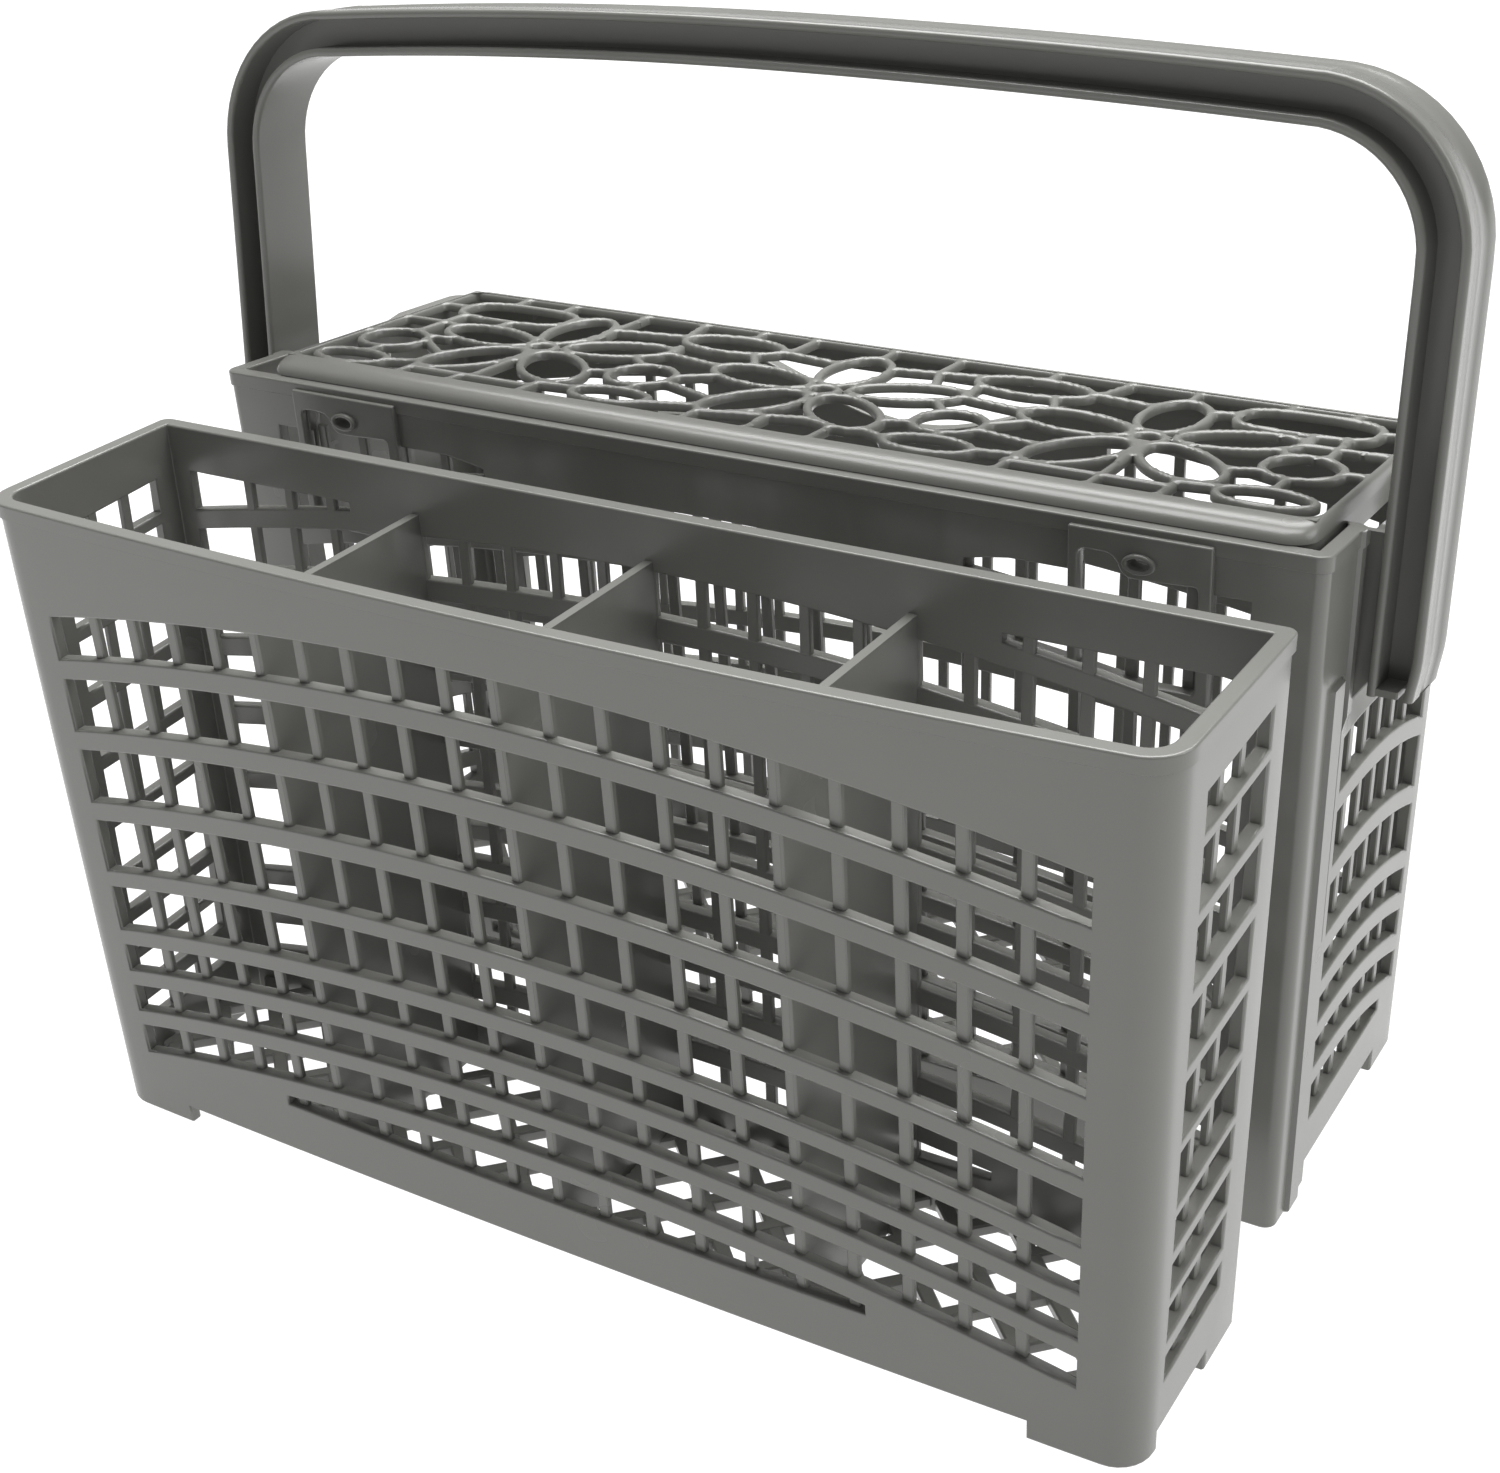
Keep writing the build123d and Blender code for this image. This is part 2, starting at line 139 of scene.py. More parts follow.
colour = start.node(
    "ShaderNodeMix", {"data_type": "RGBA"}, output=2, i0=tone, i6=darker_grey, i7=lighter_grey,
)
gloss = 0.19 + 0.12 * cloud
ripple_height = 0.5 * grain + 0.8 * streak
ripple = start.node("ShaderNodeBump", Strength=0.12, Distance=0.00025, Height=ripple_height)
tree.links.new(colour.out, shader.inputs["Base Color"])
tree.links.new(gloss.out, shader.inputs["Roughness"])
tree.links.new(ripple.out, shader.inputs["Normal"])
shader.inputs["IOR"].default_value = 1.49
print("plastic nodes:", len(tree.nodes))

# %% [markdown]
# ## From arrays to pieces
# A piece is an array of points in millimetres and an array of quads. `foreach_set` hands whole arrays to
# Blender, which is far quicker than one point at a time. Edges listed in `rounded` get a bevel weight, so
# that the Bevel modifier rounds only those.

# %% Give a mesh its plastic and its body
metres = 0.001


def add_piece(name, mesh, sharp=32):
    """Shades a mesh smooth but for edges over an angle in degrees, and lets it ride with the basket."""
    mesh.polygons.foreach_set("use_smooth", np.ones(len(mesh.polygons), dtype=bool))
    mesh.update()
    mesh.set_sharp_from_angle(angle=radians(sharp))
    mesh.materials.clear()
    mesh.materials.append(grey)
    piece = new_object(name, mesh)
    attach(piece, "root")
    print(name, len(mesh.vertices), "points", len(mesh.polygons), "faces")
    return piece


def round_edges(piece, pairs, radius, steps):
    """Gives the edges between pairs of points a bevel weight, and rounds them by a radius in mm."""
    mesh = piece.data
    ends = np.zeros(len(mesh.edges) * 2, dtype=np.int32)
    mesh.edges.foreach_get("vertices", ends)
    ends = np.sort(ends.reshape(-1, 2), axis=1)
    pairs = np.sort(pairs, axis=1)
    count = np.int64(len(mesh.vertices))
    weight = np.isin(ends[:, 0] * count + ends[:, 1], pairs[:, 0] * count + pairs[:, 1])
    layer = mesh.attributes.new("bevel_weight_edge", "FLOAT", "EDGE")
    layer.data.foreach_set("value", weight.astype(np.float32))
    bevel = piece.modifiers.new("edge rounding", "BEVEL")
    bevel.limit_method = "WEIGHT"
    bevel.width = radius * metres
    bevel.segments = steps
    bevel.use_clamp_overlap = False
    bevel.harden_normals = True


# %% Put arrays into a mesh
def put_piece(name, points, quads, rounded=None, radius=0.5, sharp=32, steps=2):
    """Makes one object from points (n, 3) in mm and quads (m, 4), without the points that no quad uses.
    rounded holds pairs of points whose edges are rounded off."""
    used, quads = np.unique(quads, return_inverse=True)
    quads = quads.reshape(-1, 4)
    points = points.reshape(-1, 3)[used]
    mesh = bpy.data.meshes.new(name)
    mesh.vertices.add(len(points))
    mesh.vertices.foreach_set("co", (points * metres).ravel())
    mesh.loops.add(quads.size)
    mesh.loops.foreach_set("vertex_index", quads.ravel().astype(np.int32))
    mesh.polygons.add(len(quads))
    mesh.polygons.foreach_set("loop_start", np.arange(0, quads.size, 4, dtype=np.int32))
    mesh.update(calc_edges=True)
    piece = add_piece(name, mesh, sharp)
    if rounded is not None:
        round_edges(piece, np.searchsorted(used, rounded), radius, steps)
    return piece


# %% [markdown]
# ## Three ways to make a surface
# A basket wall is two nets of points a wall apart, with some cells left open. A set of straight bars is one
# small profile at two ends. A closed ring is a profile carried round a loop.


# %% Pierced skin
def pierced_skin(outer, inner, solid):
    """Nets (rows, columns, 3) that close round the columns. A solid cell gets a face on both nets, and a
    strip joins the nets wherever a solid cell meets an open one, or the top or bottom. Also returns the
    strips' rims."""
    rows, columns, _ = outer.shape
    front = np.arange(rows * columns).reshape(rows, columns)
    back = front + rows * columns
    front_on = np.roll(front, -1, axis=1)
    back_on = np.roll(back, -1, axis=1)
    faces = [
        np.stack([front[:-1], front_on[:-1], front_on[1:], front[1:]], -1)[solid],
        np.stack([back[:-1], back[1:], back_on[1:], back_on[:-1]], -1)[solid],
    ]
    before = np.roll(solid, 1, axis=1)
    closed = np.zeros((1, columns), dtype=bool)
    below = np.vstack([closed, solid])
    above = np.vstack([solid, closed])
    ends = np.stack([front[:-1], back[:-1], back[1:], front[1:]], -1)[before & ~solid]
    starts = np.stack([front[:-1], front[1:], back[1:], back[:-1]], -1)[solid & ~before]
    tops = np.stack([front, front_on, back_on, back], -1)[below & ~above]
    bottoms = np.stack([front, back, back_on, front_on], -1)[above & ~below]
    long_way = np.vstack([ends, bottoms])
    short_way = np.vstack([starts, tops])
    rims = np.vstack([long_way[:, [0, 3]], long_way[:, [1, 2]], short_way[:, [0, 1]], short_way[:, [2, 3]]])
    points = np.vstack([outer.reshape(-1, 3), inner.reshape(-1, 3)])
    return points, np.vstack(faces + [ends, starts, tops, bottoms]), rims


# %% Bars and rings
def bars(start, end, across, away, width, depth, cut=0.3):
    """Straight bars: the profile, a rectangle with cut corners, stands at start and at end, each (n, 3).
    Width runs along across and depth along away; each is one number or one for every bar and end, (n, 2)."""
    count = len(start)
    w = np.broadcast_to(width, (count, 2))[..., None] / 2
    d = np.broadcast_to(depth, (count, 2))[..., None] / 2
    px = np.array([-1, 1, 1, 1, 1, -1, -1, -1]) * w + cut * np.array([1, -1, 0, 0, -1, 1, 0, 0])
    py = np.array([-1, -1, -1, 1, 1, 1, 1, -1]) * d + cut * np.array([0, 0, 1, -1, 0, 0, -1, 1])
    centre = np.stack([start, end], axis=1)[:, :, None, :]
    across = np.broadcast_to(across, (count, 3))[:, None, None, :]
    away = np.broadcast_to(away, (count, 3))[:, None, None, :]
    points = centre + px[..., None] * across + py[..., None] * away
    first = np.arange(8)
    second = np.roll(first, -1)
    side = np.stack([first, second, second + 8, first + 8], -1)
    cap = np.array([[0, 1, 2, 3], [0, 3, 4, 7], [4, 5, 6, 7]])
    one = np.vstack([side, cap + 8, cap[:, ::-1]])
    quads = (np.arange(count) * 16)[:, None, None] + one
    return points.reshape(-1, 3), quads.reshape(-1, 4)


def closed_tubes(points):
    """Nets (pieces, along, round, 3) closed both along the loop and round the profile."""
    pieces, along, around, _ = points.shape
    ids = np.arange(pieces * along * around).reshape(pieces, along, around)
    on = np.roll(ids, -1, axis=2)
    ahead = np.roll(ids, -1, axis=1)
    ahead_on = np.roll(ahead, -1, axis=2)
    return points.reshape(-1, 3), np.stack([ids, on, ahead_on, ahead], -1).reshape(-1, 4)


def joined(*sets):
    """Several (points, quads) in one."""
    sizes = np.cumsum([0] + [len(p) for p, _ in sets[:-1]])
    return np.vstack([p for p, _ in sets]), np.vstack([q + s for (_, q), s in zip(sets, sizes)])


def stacked(x, y, z):
    """Three coordinates, numbers or arrays, as points (..., 3)."""
    return np.stack(np.broadcast_arrays(x, y, z), -1)


def ramp(value, low, high):
    """0 below low, 1 above high, with a soft S between."""
    t = np.clip((value - low) / (high - low), 0.0, 1.0)
    return t * t * (3 - 2 * t)


# %% [markdown]
# ## The outline of a basket
# Seen from above, a basket is a rectangle with round corners. Its four walls lean inwards towards the
# bottom, as a moulding must to leave its mould. Each column of the net knows which share of the half length
# and of the depth it follows, so one sum gives every point at every height.

# %% Sizes of the two baskets, in millimetres
lean = tan(radians(0.95))
wall = 2.8
least_turn = 0.3
arch_sag = 11.0
main_fall = 5.5
front = SimpleNamespace(
    half=120.0, depth=49.5, height=138.5, middle_x=2.9, front_y=-73.8, bow=(1.4, 3.4),
    corners=(7.0, 1.6), window_half=108.0, end_drift=0.03,
)
main = SimpleNamespace(
    half=120.4, depth=79.5, height=141.5, middle_x=0.0, front_y=-2.3, bow=(0.0, 0.0),
    corners=(2.6, 4.0), window_half=107.6, end_drift=0.0,
)
window_steps = 48


def front_places(size):
    """Places along a long wall: the lines of the window grid, and with them the two ends of the wall."""
    straight = size.half - size.corners[0]
    grid = np.linspace(-size.window_half, size.window_half, window_steps + 1)
    return grid, np.concatenate([[-straight], grid, [straight]])


def arch(x, size):
    """How far a row of windows has fallen at a place along the wall: a parabola from the middle."""
    return arch_sag * (x / size.window_half) ** 2


# %% Columns round a basket
def basket_columns(size, front_x, end_y, drift):
    """Columns of a net round the outline, from the front wall to the right: walls have even numbers and
    corners odd ones. A column holds its shares of the half length, the front and rear edges and the bow,
    its shifts by a round corner, its outward direction and its drift to the front for each mm down."""
    near, far = size.corners
    s = front_x / (size.half - near)
    t = (end_y - near) / (size.depth - near - far)
    shift = (1 - t) * near - t * far
    quarter = np.radians(np.linspace(0, 90, 8))[1:-1]
    sine, cosine = np.sin(quarter), np.cos(quarter)
    names = "x_share x_shift front_share rear_share y_shift bow_share out_x out_y drift".split()
    parts = [
        (s, -s * near, 1, 0, 0, 1 - s * s, 0, -1, 0),
        (1, near * (sine - 1), 1, 0, near * (1 - cosine), 0, sine, -cosine, 0),
        (1, 0, 1 - t, t, shift, 0, 1, 0, drift),
        (1, far * (cosine - 1), 0, 1, far * (sine - 1), 0, cosine, sine, 0),
        (s[::-1], -s[::-1] * far, 0, 1, 0, 0, 0, 1, 0),
        (-1, far * (1 - sine), 0, 1, far * (cosine - 1), 0, -sine, cosine, 0),
        (-1, 0, (1 - t)[::-1], t[::-1], shift[::-1], 0, -1, 0, drift[::-1]),
        (-1, near * (1 - cosine), 1, 0, near * (1 - sine), 0, -cosine, -sine, 0),
    ]
    filled = [np.broadcast_arrays(*part) for part in parts]
    columns = {name: np.concatenate([part[i] for part in filled]) for i, name in enumerate(names)}
    numbers = np.concatenate([np.full(len(part[0]), i) for i, part in enumerate(filled)])
    return SimpleNamespace(wall=numbers, **columns)


def wall_sets(columns):
    """The column numbers of the front, right, rear and left wall."""
    return [np.flatnonzero(columns.wall == number) for number in (0, 2, 4, 6)]


# %% Points on the walls
def bow_at(size, fall):
    """How far the front wall stands out in its middle: a straight change from the rim to the bottom."""
    low_bow, high_bow = size.bow
    return high_bow - (high_bow - low_bow) * fall / size.height


def wall_points(size, columns, z, inset):
    """Points at heights z and a distance inset behind the outside: x follows the half length less the lean,
    y the front and rear edges less the lean, and the front wall is bowed out by a parabola. A corner that
    is tighter than the wall is thick keeps a small radius inside."""
    fall = size.height - z
    c = columns
    half = size.half - lean * fall
    near, far = size.corners
    turn = np.where(c.front_share > c.rear_share, near, far)
    inside = np.maximum(turn - inset, least_turn)
    on_corner = c.wall % 2 == 1
    shrink = np.where(on_corner, inside / turn, 1.0)
    x = c.x_share * half + c.x_shift * shrink
    x = x - np.where(on_corner, c.x_share, c.out_x) * inset
    y = c.front_share * lean * fall + c.rear_share * (size.depth - lean * fall)
    y = y + c.y_shift * shrink - c.bow_share * bow_at(size, fall) - c.drift * fall
    y = y - np.where(on_corner, c.rear_share - c.front_share, c.out_y) * inset
    long_wall = np.isin(c.wall, (0, 4))
    end_wall = np.isin(c.wall, (2, 6))
    x = np.where(long_wall, np.clip(x, inset + inside - half, half - inset - inside), x)
    low = lean * fall + np.maximum(near, inset + least_turn)
    high = size.depth - lean * fall - np.maximum(far, inset + least_turn)
    y = np.where(end_wall, np.clip(y, low, high), y)
    return stacked(size.middle_x + x, size.front_y + y, z)


def around(columns, front, end, rear):
    """One level line round the basket: values on the walls, both ends alike, straight over the corners."""
    order = np.arange(len(columns.wall))
    flat = columns.wall % 2 == 0
    values = np.zeros(len(order))
    on_front, on_right, on_rear, on_left = wall_sets(columns)
    values[on_front] = front
    values[on_right] = end
    values[on_rear] = rear
    values[on_left] = values[on_right][::-1]
    return np.interp(order, order[flat], values[flat], period=len(order))


# %% [markdown]
# ## Front basket: the skin
# The front wall has nine rows of windows under shallow arches. The thin upright bars lie a little behind the
# wall, so the rows are cut as long slots first. The lowest row is a short sliver. A tenth row is cut in the
# end walls and in both sides of the rear wall. The rim has a small lip, and the wall ends in four feet.

# %% Front basket levels: lower and upper edge of each row at the crown of its arch
top_row = 9
first_line = 2
sliver_height = 1.5
least_row = 0.4
long_rows = [
    (15.8, 22), (26.5, 33), (37, 43), (47, 53), (57, 67), (71, 82.5), (87, 98.5),
    (103, 114), (118.5, 127.3), (131.6, 133),
]
end_rows = [
    (15, 20), (23.5, 30.5), (33, 39.5), (42.5, 49), (51.5, 62), (64.5, 75.5), (78.5, 89.5),
    (93, 104), (107, 118), (120.5, 127.5),
]
front_grid, front_x = front_places(front)
end_y = np.array([7.0, 8.4, 14.5, 19.0, 23.6, 28.2, 32.8, 37.4, 42.0, 47.9])
in_window = (end_y > 12.0) & (end_y < 44.0)
columns = basket_columns(front, front_x, end_y, front.end_drift * in_window)
rise = 0.05 * (end_y - 28.0)
front_lower_edge = 4.0
rear_slot_top = 129.0
front_arch = arch(front_x, front)
lines = [around(columns, z, z, z) for z in (0.0, front_lower_edge)]
for k, ((low, high), (end_low, end_high)) in enumerate(zip(long_rows, end_rows)):
    top = high - front_arch
    base = np.minimum(low, top - sliver_height) if k == 0 else low - front_arch
    rear_top = np.maximum(rear_slot_top, base + least_row) if k == top_row else top
    lines.append(around(columns, base, end_low + rise, base))
    lines.append(around(columns, top, end_high + rise, rear_top))
lines += [around(columns, z, z, z) for z in front.height - np.array([3.4, 3.0, 0.0])]
front_z = np.array(lines)
print("front basket levels:", front_z.shape)

# %% Front basket skin
sliver_half = 67.5
front_lip = 0.6
on_front, on_right, on_rear, on_left = wall_sets(columns)
cell_x = np.abs(front_grid[:-1] + front_grid[1:]) / 2
solid = np.ones((len(front_z) - 1, front_z.shape[1]), dtype=bool)
for k in range(len(long_rows)):
    row = first_line + 2 * k
    closed = cell_x > (sliver_half if k == 0 else front.window_half)
    solid[row, on_front[1:-2]] = closed | (k == top_row)
    solid[row, on_rear[1:-2]] = cell_x < sliver_half if k == top_row else closed
    solid[row, on_right[2:8]] = False
    solid[row, on_left[1:7]] = False
feet = columns.wall % 2 == 1
feet[np.concatenate([on_front[:3], on_front[-4:], on_rear[:3], on_rear[-4:]])] = True
feet[np.concatenate([on_right[[0, 7, 8, 9]], on_left[[0, 1, 8, 9]]])] = True
solid[0] = feet
lip = np.zeros((len(front_z), 1))
lip[-2:] = front_lip
outer = wall_points(front, columns, front_z, -lip)
inner = wall_points(front, columns, front_z, wall)
front_skin = put_piece("front_basket_skin", *pierced_skin(outer, inner, solid), 0.5)
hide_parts("front_basket")

# %% [markdown]
# ## Front basket: upright bars, dividers and floor
# The upright bars run unbroken behind the arched rows, so they are single long bars and not bits between
# the rows. Three dividers make four compartments, and a lattice of diagonal bars lets the water out.

# %% Upright bars
bar_width, bar_depth, bar_inset = 2.3, 1.4, 2.0
bar_ways = {
    "front": ((1, 0, 0), (0, 1, 0)), "rear": ((-1, 0, 0), (0, -1, 0)),
    "right": ((0, 1, 0), (-1, 0, 0)), "left": ((0, -1, 0), (1, 0, 0)),
}


def uprights(size, wall_name, place, low, high):
    """Bars in one wall, set back from the outside: their places along the wall at the rim, and the heights
    of their ends. Both ends follow the lean and the bow of the wall."""
    ends = []
    for z in (low, high):
        fall = size.height - z
        sunk = lean * fall
        x = place - place / size.half * sunk
        if wall_name == "front":
            share = place / (size.half - size.corners[0])
            y = sunk - bow_at(size, fall) * (1 - share ** 2) + bar_inset
        elif wall_name == "rear":
            y = size.depth - sunk - bar_inset
        else:
            x = (1 if wall_name == "right" else -1) * (size.half - sunk - bar_inset)
            y = place + sunk * (1 - 2 * place / size.depth) - size.end_drift * fall
        ends.append(stacked(size.middle_x + x, size.front_y + y, z))
    return bars(*ends, *bar_ways[wall_name], bar_width, bar_depth, 0.25)


def bar_places(size):
    """Places of the upright bars along a long wall, evenly spaced in the window grid."""
    return np.linspace(-size.window_half, size.window_half, 21)[1:-1]


over_sliver = 66.0
sliver_foot = 15.0
bar_x = bar_places(front)
bar_foot = np.where(np.abs(bar_x) < over_sliver, sliver_foot, 25.5 - arch(bar_x, front))
end_bar_y = np.linspace(14.5, 42.0, 4)[1:-1]
end_foot, end_head, rear_head = 14.0, 129.0, 130.0
put_piece("front_basket_uprights", *joined(
    uprights(front, "front", bar_x, bar_foot, 128.3 - arch(bar_x, front)),
    uprights(front, "rear", bar_x, bar_foot, rear_head),
    *(uprights(front, name, end_bar_y, end_foot, end_head) for name in ("right", "left")),
))

# %% Dividers
divider_thick, divider_inset = 1.8, 1.2
divider_x = bar_x[[4, 9, 14]]
bow_share = 1 - (divider_x / (front.half - front.corners[0])) ** 2
ends, depths = [], []
for z, bow in ((6.0, 1.5), (129.5, 3.3)):
    sunk = lean * (front.height - z)
    near = sunk - bow * bow_share + divider_inset
    far = front.depth - sunk - divider_inset
    x = front.middle_x + divider_x - divider_x / front.half * sunk
    ends.append(stacked(x, front.front_y + (near + far) / 2, z))
    depths.append(far - near)
depths = np.stack(depths, -1)
put_piece("front_basket_dividers", *bars(*ends, (1, 0, 0), (0, 1, 0), divider_thick, depths))

# %% Lattice floors
floor_z, floor_edge, floor_gap = 6.3, 5.0, 2.2
lattice_width, lattice_thick, crossing_step = 3.0, 2.5, 0.12


def lattice(size, end_gap, pitch):
    """Diagonal bars both ways: lines x - y = c and x + y = c, cut off at a rectangle just inside the walls.
    Bars that cross differ a little in thickness, so that their faces don't coincide."""
    sunk = lean * (size.height - floor_edge)
    half = size.half - sunk - end_gap
    near = sunk + floor_gap
    far = size.depth - sunk - floor_gap
    c = np.arange(-half - far, half + far, pitch * 2 ** 0.5)
    sets = []
    for sign in (1, -1):
        low = np.maximum(near, -half - sign * c)
        high = np.minimum(far, half - sign * c)
        good = high - low > 3.0
        ends = [
            stacked(size.middle_x + c[good] + sign * y, size.front_y + y, floor_z)
            for y in (low[good], high[good])
        ]
        across = np.cross((0, 0, 1), np.array([sign, 1.0, 0.0]) / 2 ** 0.5)
        thick = lattice_thick + crossing_step * sign
        sets.append(bars(*ends, across, (0, 0, 1), lattice_width, thick, 0.4))
    return joined(*sets)


put_piece("front_basket_floor", *lattice(front, 2.6, 11.0))

# %% [markdown]
# ## Main basket: the skin
# The same net, deeper. Its rim falls towards the rear, dips where the handle stands in a shallow recess in
# each end, and has a wide notch in the rear wall. The end walls carry a raised pad beside a groove at the
# front corner. Two places in the front wall stay open for the hook panels.

# %% Main basket levels: long walls as in the front basket, ends with rows that bend down
main_grid, main_x = front_places(main)
end_y = np.array([
    2.6, 6.9, 7.3, 10, 12.5, 12.9, 14.3, 15.7, 16, 18.5, 20, 21.5, 24, 27.4, 32, 36.3, 40, 45.2,
    47, 48.5, 50, 54.2, 58, 63.1, 67.5, 72, 75.5,
])
columns = basket_columns(main, main_x, end_y, np.zeros_like(end_y))
main_ends = [
    (8, 10), (15.5, 23.5), (27.9, 33.8), (38.2, 43.8), (48.2, 53.8), (58.2, 68.8), (73.2, 84.3),
    (88.7, 99.5), (102, 105), (113.7, 114.2),
]


def end_bend(y):
    """How far a row in an end wall has fallen: a parabola from a place near the front."""
    return 8.0 * ((y - 25.0) / 45.0) ** 2


row_lift, top_row_drop = 0.5, 1.7
front_slot_top, rear_row_top, rear_slot_low, rear_slot_high = 129.0, 124.0, 126.0, 126.5
main_lower_edge = 5.0
main_arch = arch(main_x, main)
hook_rise = 2.0 * ramp(np.abs(main_x), 50.0, 64.0)
lines = [around(columns, z, z, z) for z in (0.0, main_lower_edge)]
for k, ((low, high), (end_low, end_high)) in enumerate(zip(long_rows, main_ends)):
    top = high + row_lift - main_arch
    base = np.minimum(low, top - sliver_height) if k == 0 else low + row_lift - main_arch
    rear_base, front_top, rear_top = base, top, top
    if k == top_row - 1:
        rear_top = np.minimum(top, rear_row_top)
    if k == top_row:
        base = base - top_row_drop
        front_top = np.maximum(front_slot_top + hook_rise, base + least_row)
        rear_base = np.minimum(base, rear_slot_low)
        rear_top = np.maximum(rear_slot_high, rear_base + least_row)
    bend = end_bend(end_y) * (1 < k < top_row - 1)
    side_low, side_high = end_low - bend, end_high - bend
    if k == 1:
        side_high = np.maximum(end_high - end_bend(end_y), end_low + 1.0)
    lines.append(around(columns, base, side_low, rear_base))
    lines.append(around(columns, front_top, side_high, rear_top))
print("main basket lines below the rim:", len(lines))

# %% Main basket rim: it falls to the rear, dips at the handle and has a notch behind
front_rim = main.height
rear_rim = front_rim - main_fall
dip_depth = 9.0
dip = dip_depth * ramp(end_y, 18.0, 40.0) * (1 - ramp(end_y, 46.0, 56.0))
end_rim = front_rim - main_fall * end_y / main.depth - dip
lines += [around(columns, *over) for over in ((134.0, 118.0, 128.5), (136.8, 122.0, 130.5))]
for drop in (3.3, 3.0, 0.0):
    lines.append(around(columns, front_rim - drop, end_rim - drop, rear_rim - drop))
main_z = np.array(lines)
notch_middle, notch_half, notch_depth, notch_base = 3.5, 58.0, 14.5, 114.8
on_front, on_right, on_rear, on_left = wall_sets(columns)
notch = notch_depth * (1 - ramp(np.abs(main_x[::-1] - notch_middle), 0.0, notch_half))
raised = np.maximum(main_z[:, on_rear] - notch_base, 0.0)
main_z[:, on_rear] -= raised * notch / (rear_rim - notch_base)
print("main levels rise everywhere:", bool((np.diff(main_z, axis=0) > 0).all()))

# %% Main basket relief on the ends: pad, groove, bead and the recess of the handle
pad_rise, groove_depth, bead_rise, recess_depth, main_lip = 0.9, 1.0, 0.7, 2.6, 0.4
place_y = np.zeros(len(columns.wall))
place_y[on_right] = end_y
place_y[on_left] = end_y[::-1]
on_end = np.isin(columns.wall, (2, 6))


def strip(low, high):
    """True on the columns of the end walls between two places."""
    return (place_y > low) & (place_y < high) & on_end


pad = pad_rise * strip(7.1, 12.7) * (main_z < 114.0)
groove = groove_depth * strip(14.1, 15.9) * ramp(main_z, 64.0, 68.0) * (1 - ramp(main_z, 110.0, 113.0))
bead = bead_rise * strip(15.9, 18.6) * (main_z > 104.0)
recess_span = ramp(place_y, 18.0, 24.0) * (1 - ramp(place_y, 46.5, 50.5)) * on_end
recess = recess_depth * recess_span * ramp(main_z, 99.0, 105.0)
lip = np.zeros((len(main_z), 1))
lip[-2:] = main_lip
print("deepest relief in mm:", recess.max())

# %% Main basket skin
hook_from, hook_to = 76.0, 98.7
window_from, window_to, short_window_to = 18.4, 72.1, 63.2
front_middle, rear_middle = 53.0, 50.0
cell_x = np.abs(main_grid[:-1] + main_grid[1:]) / 2
solid = np.ones((len(main_z) - 1, main_z.shape[1]), dtype=bool)
for k in range(len(long_rows)):
    row = first_line + 2 * k
    front_open = cell_x < (sliver_half if k == 0 else main.window_half)
    rear_open = front_open
    if k == top_row - 1:
        rear_open = cell_x > rear_middle
    if k == top_row:
        front_open = cell_x > front_middle
        rear_open = np.zeros_like(front_open)
    solid[row, on_front[1:-2]] = ~front_open
    solid[row, on_rear[1:-2]] = ~rear_open
    if 1 <= k < top_row - 1:
        window_end = short_window_to if k == 1 else window_to
        end_open = (end_y[:-1] >= window_from) & (end_y[1:] <= window_end)
        solid[row, on_right[:-1]] = ~end_open
        solid[row, on_left[:-1]] = ~end_open[::-1]
hook_row = first_line + 2 * top_row
hook_columns = on_front[1:-2][(cell_x > hook_from) & (cell_x < hook_to)]
solid[hook_row:hook_row + 3, hook_columns] = False
feet = columns.wall % 2 == 1
feet[np.concatenate([on_front[:4], on_front[-5:], on_rear[:4], on_rear[-5:]])] = True
feet[on_right] |= (end_y < 18) | (end_y > 62)
feet[on_left] |= ((end_y < 18) | (end_y > 64))[::-1]
solid[0] = feet
outer = wall_points(main, columns, main_z, recess + groove - pad - bead - lip)
inner = wall_points(main, columns, main_z, wall + recess)
main_skin = put_piece("main_basket_skin", *pierced_skin(outer, inner, solid), 0.45)
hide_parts("main_basket")

# %% Main basket uprights and floor
main_bar_x = bar_places(main)
main_foot = np.where(np.abs(main_bar_x) < over_sliver, sliver_foot, 26.0 - arch(main_bar_x, main))
front_head = 132.0
rear_head = np.where(np.abs(main_bar_x) < rear_middle, 117.0, 125.0)
main_end_bars = np.linspace(18.5, 72.0, 7)[1:-1]
end_head = 100.5 - end_bend(main_end_bars)
end_foot = np.where(main_end_bars < 62, 14.5, 27.0 - end_bend(main_end_bars))
put_piece("main_basket_uprights", *joined(
    uprights(main, "front", main_bar_x, main_foot, front_head),
    uprights(main, "rear", main_bar_x, main_foot, rear_head),
    *(uprights(main, name, main_end_bars, end_foot, end_head) for name in ("right", "left")),
))
put_piece("main_basket_floor", *lattice(main, 2.2, 14.0))

# %% [markdown]
# ## Hook panels
# Two raised panels on the front of the main basket have a stepped opening for a hook, and an oval eye. Their
# outline is a flat curve with two holes, because Blender fills and rounds such a curve by itself. It is made
# a mesh and set against the leaning wall.


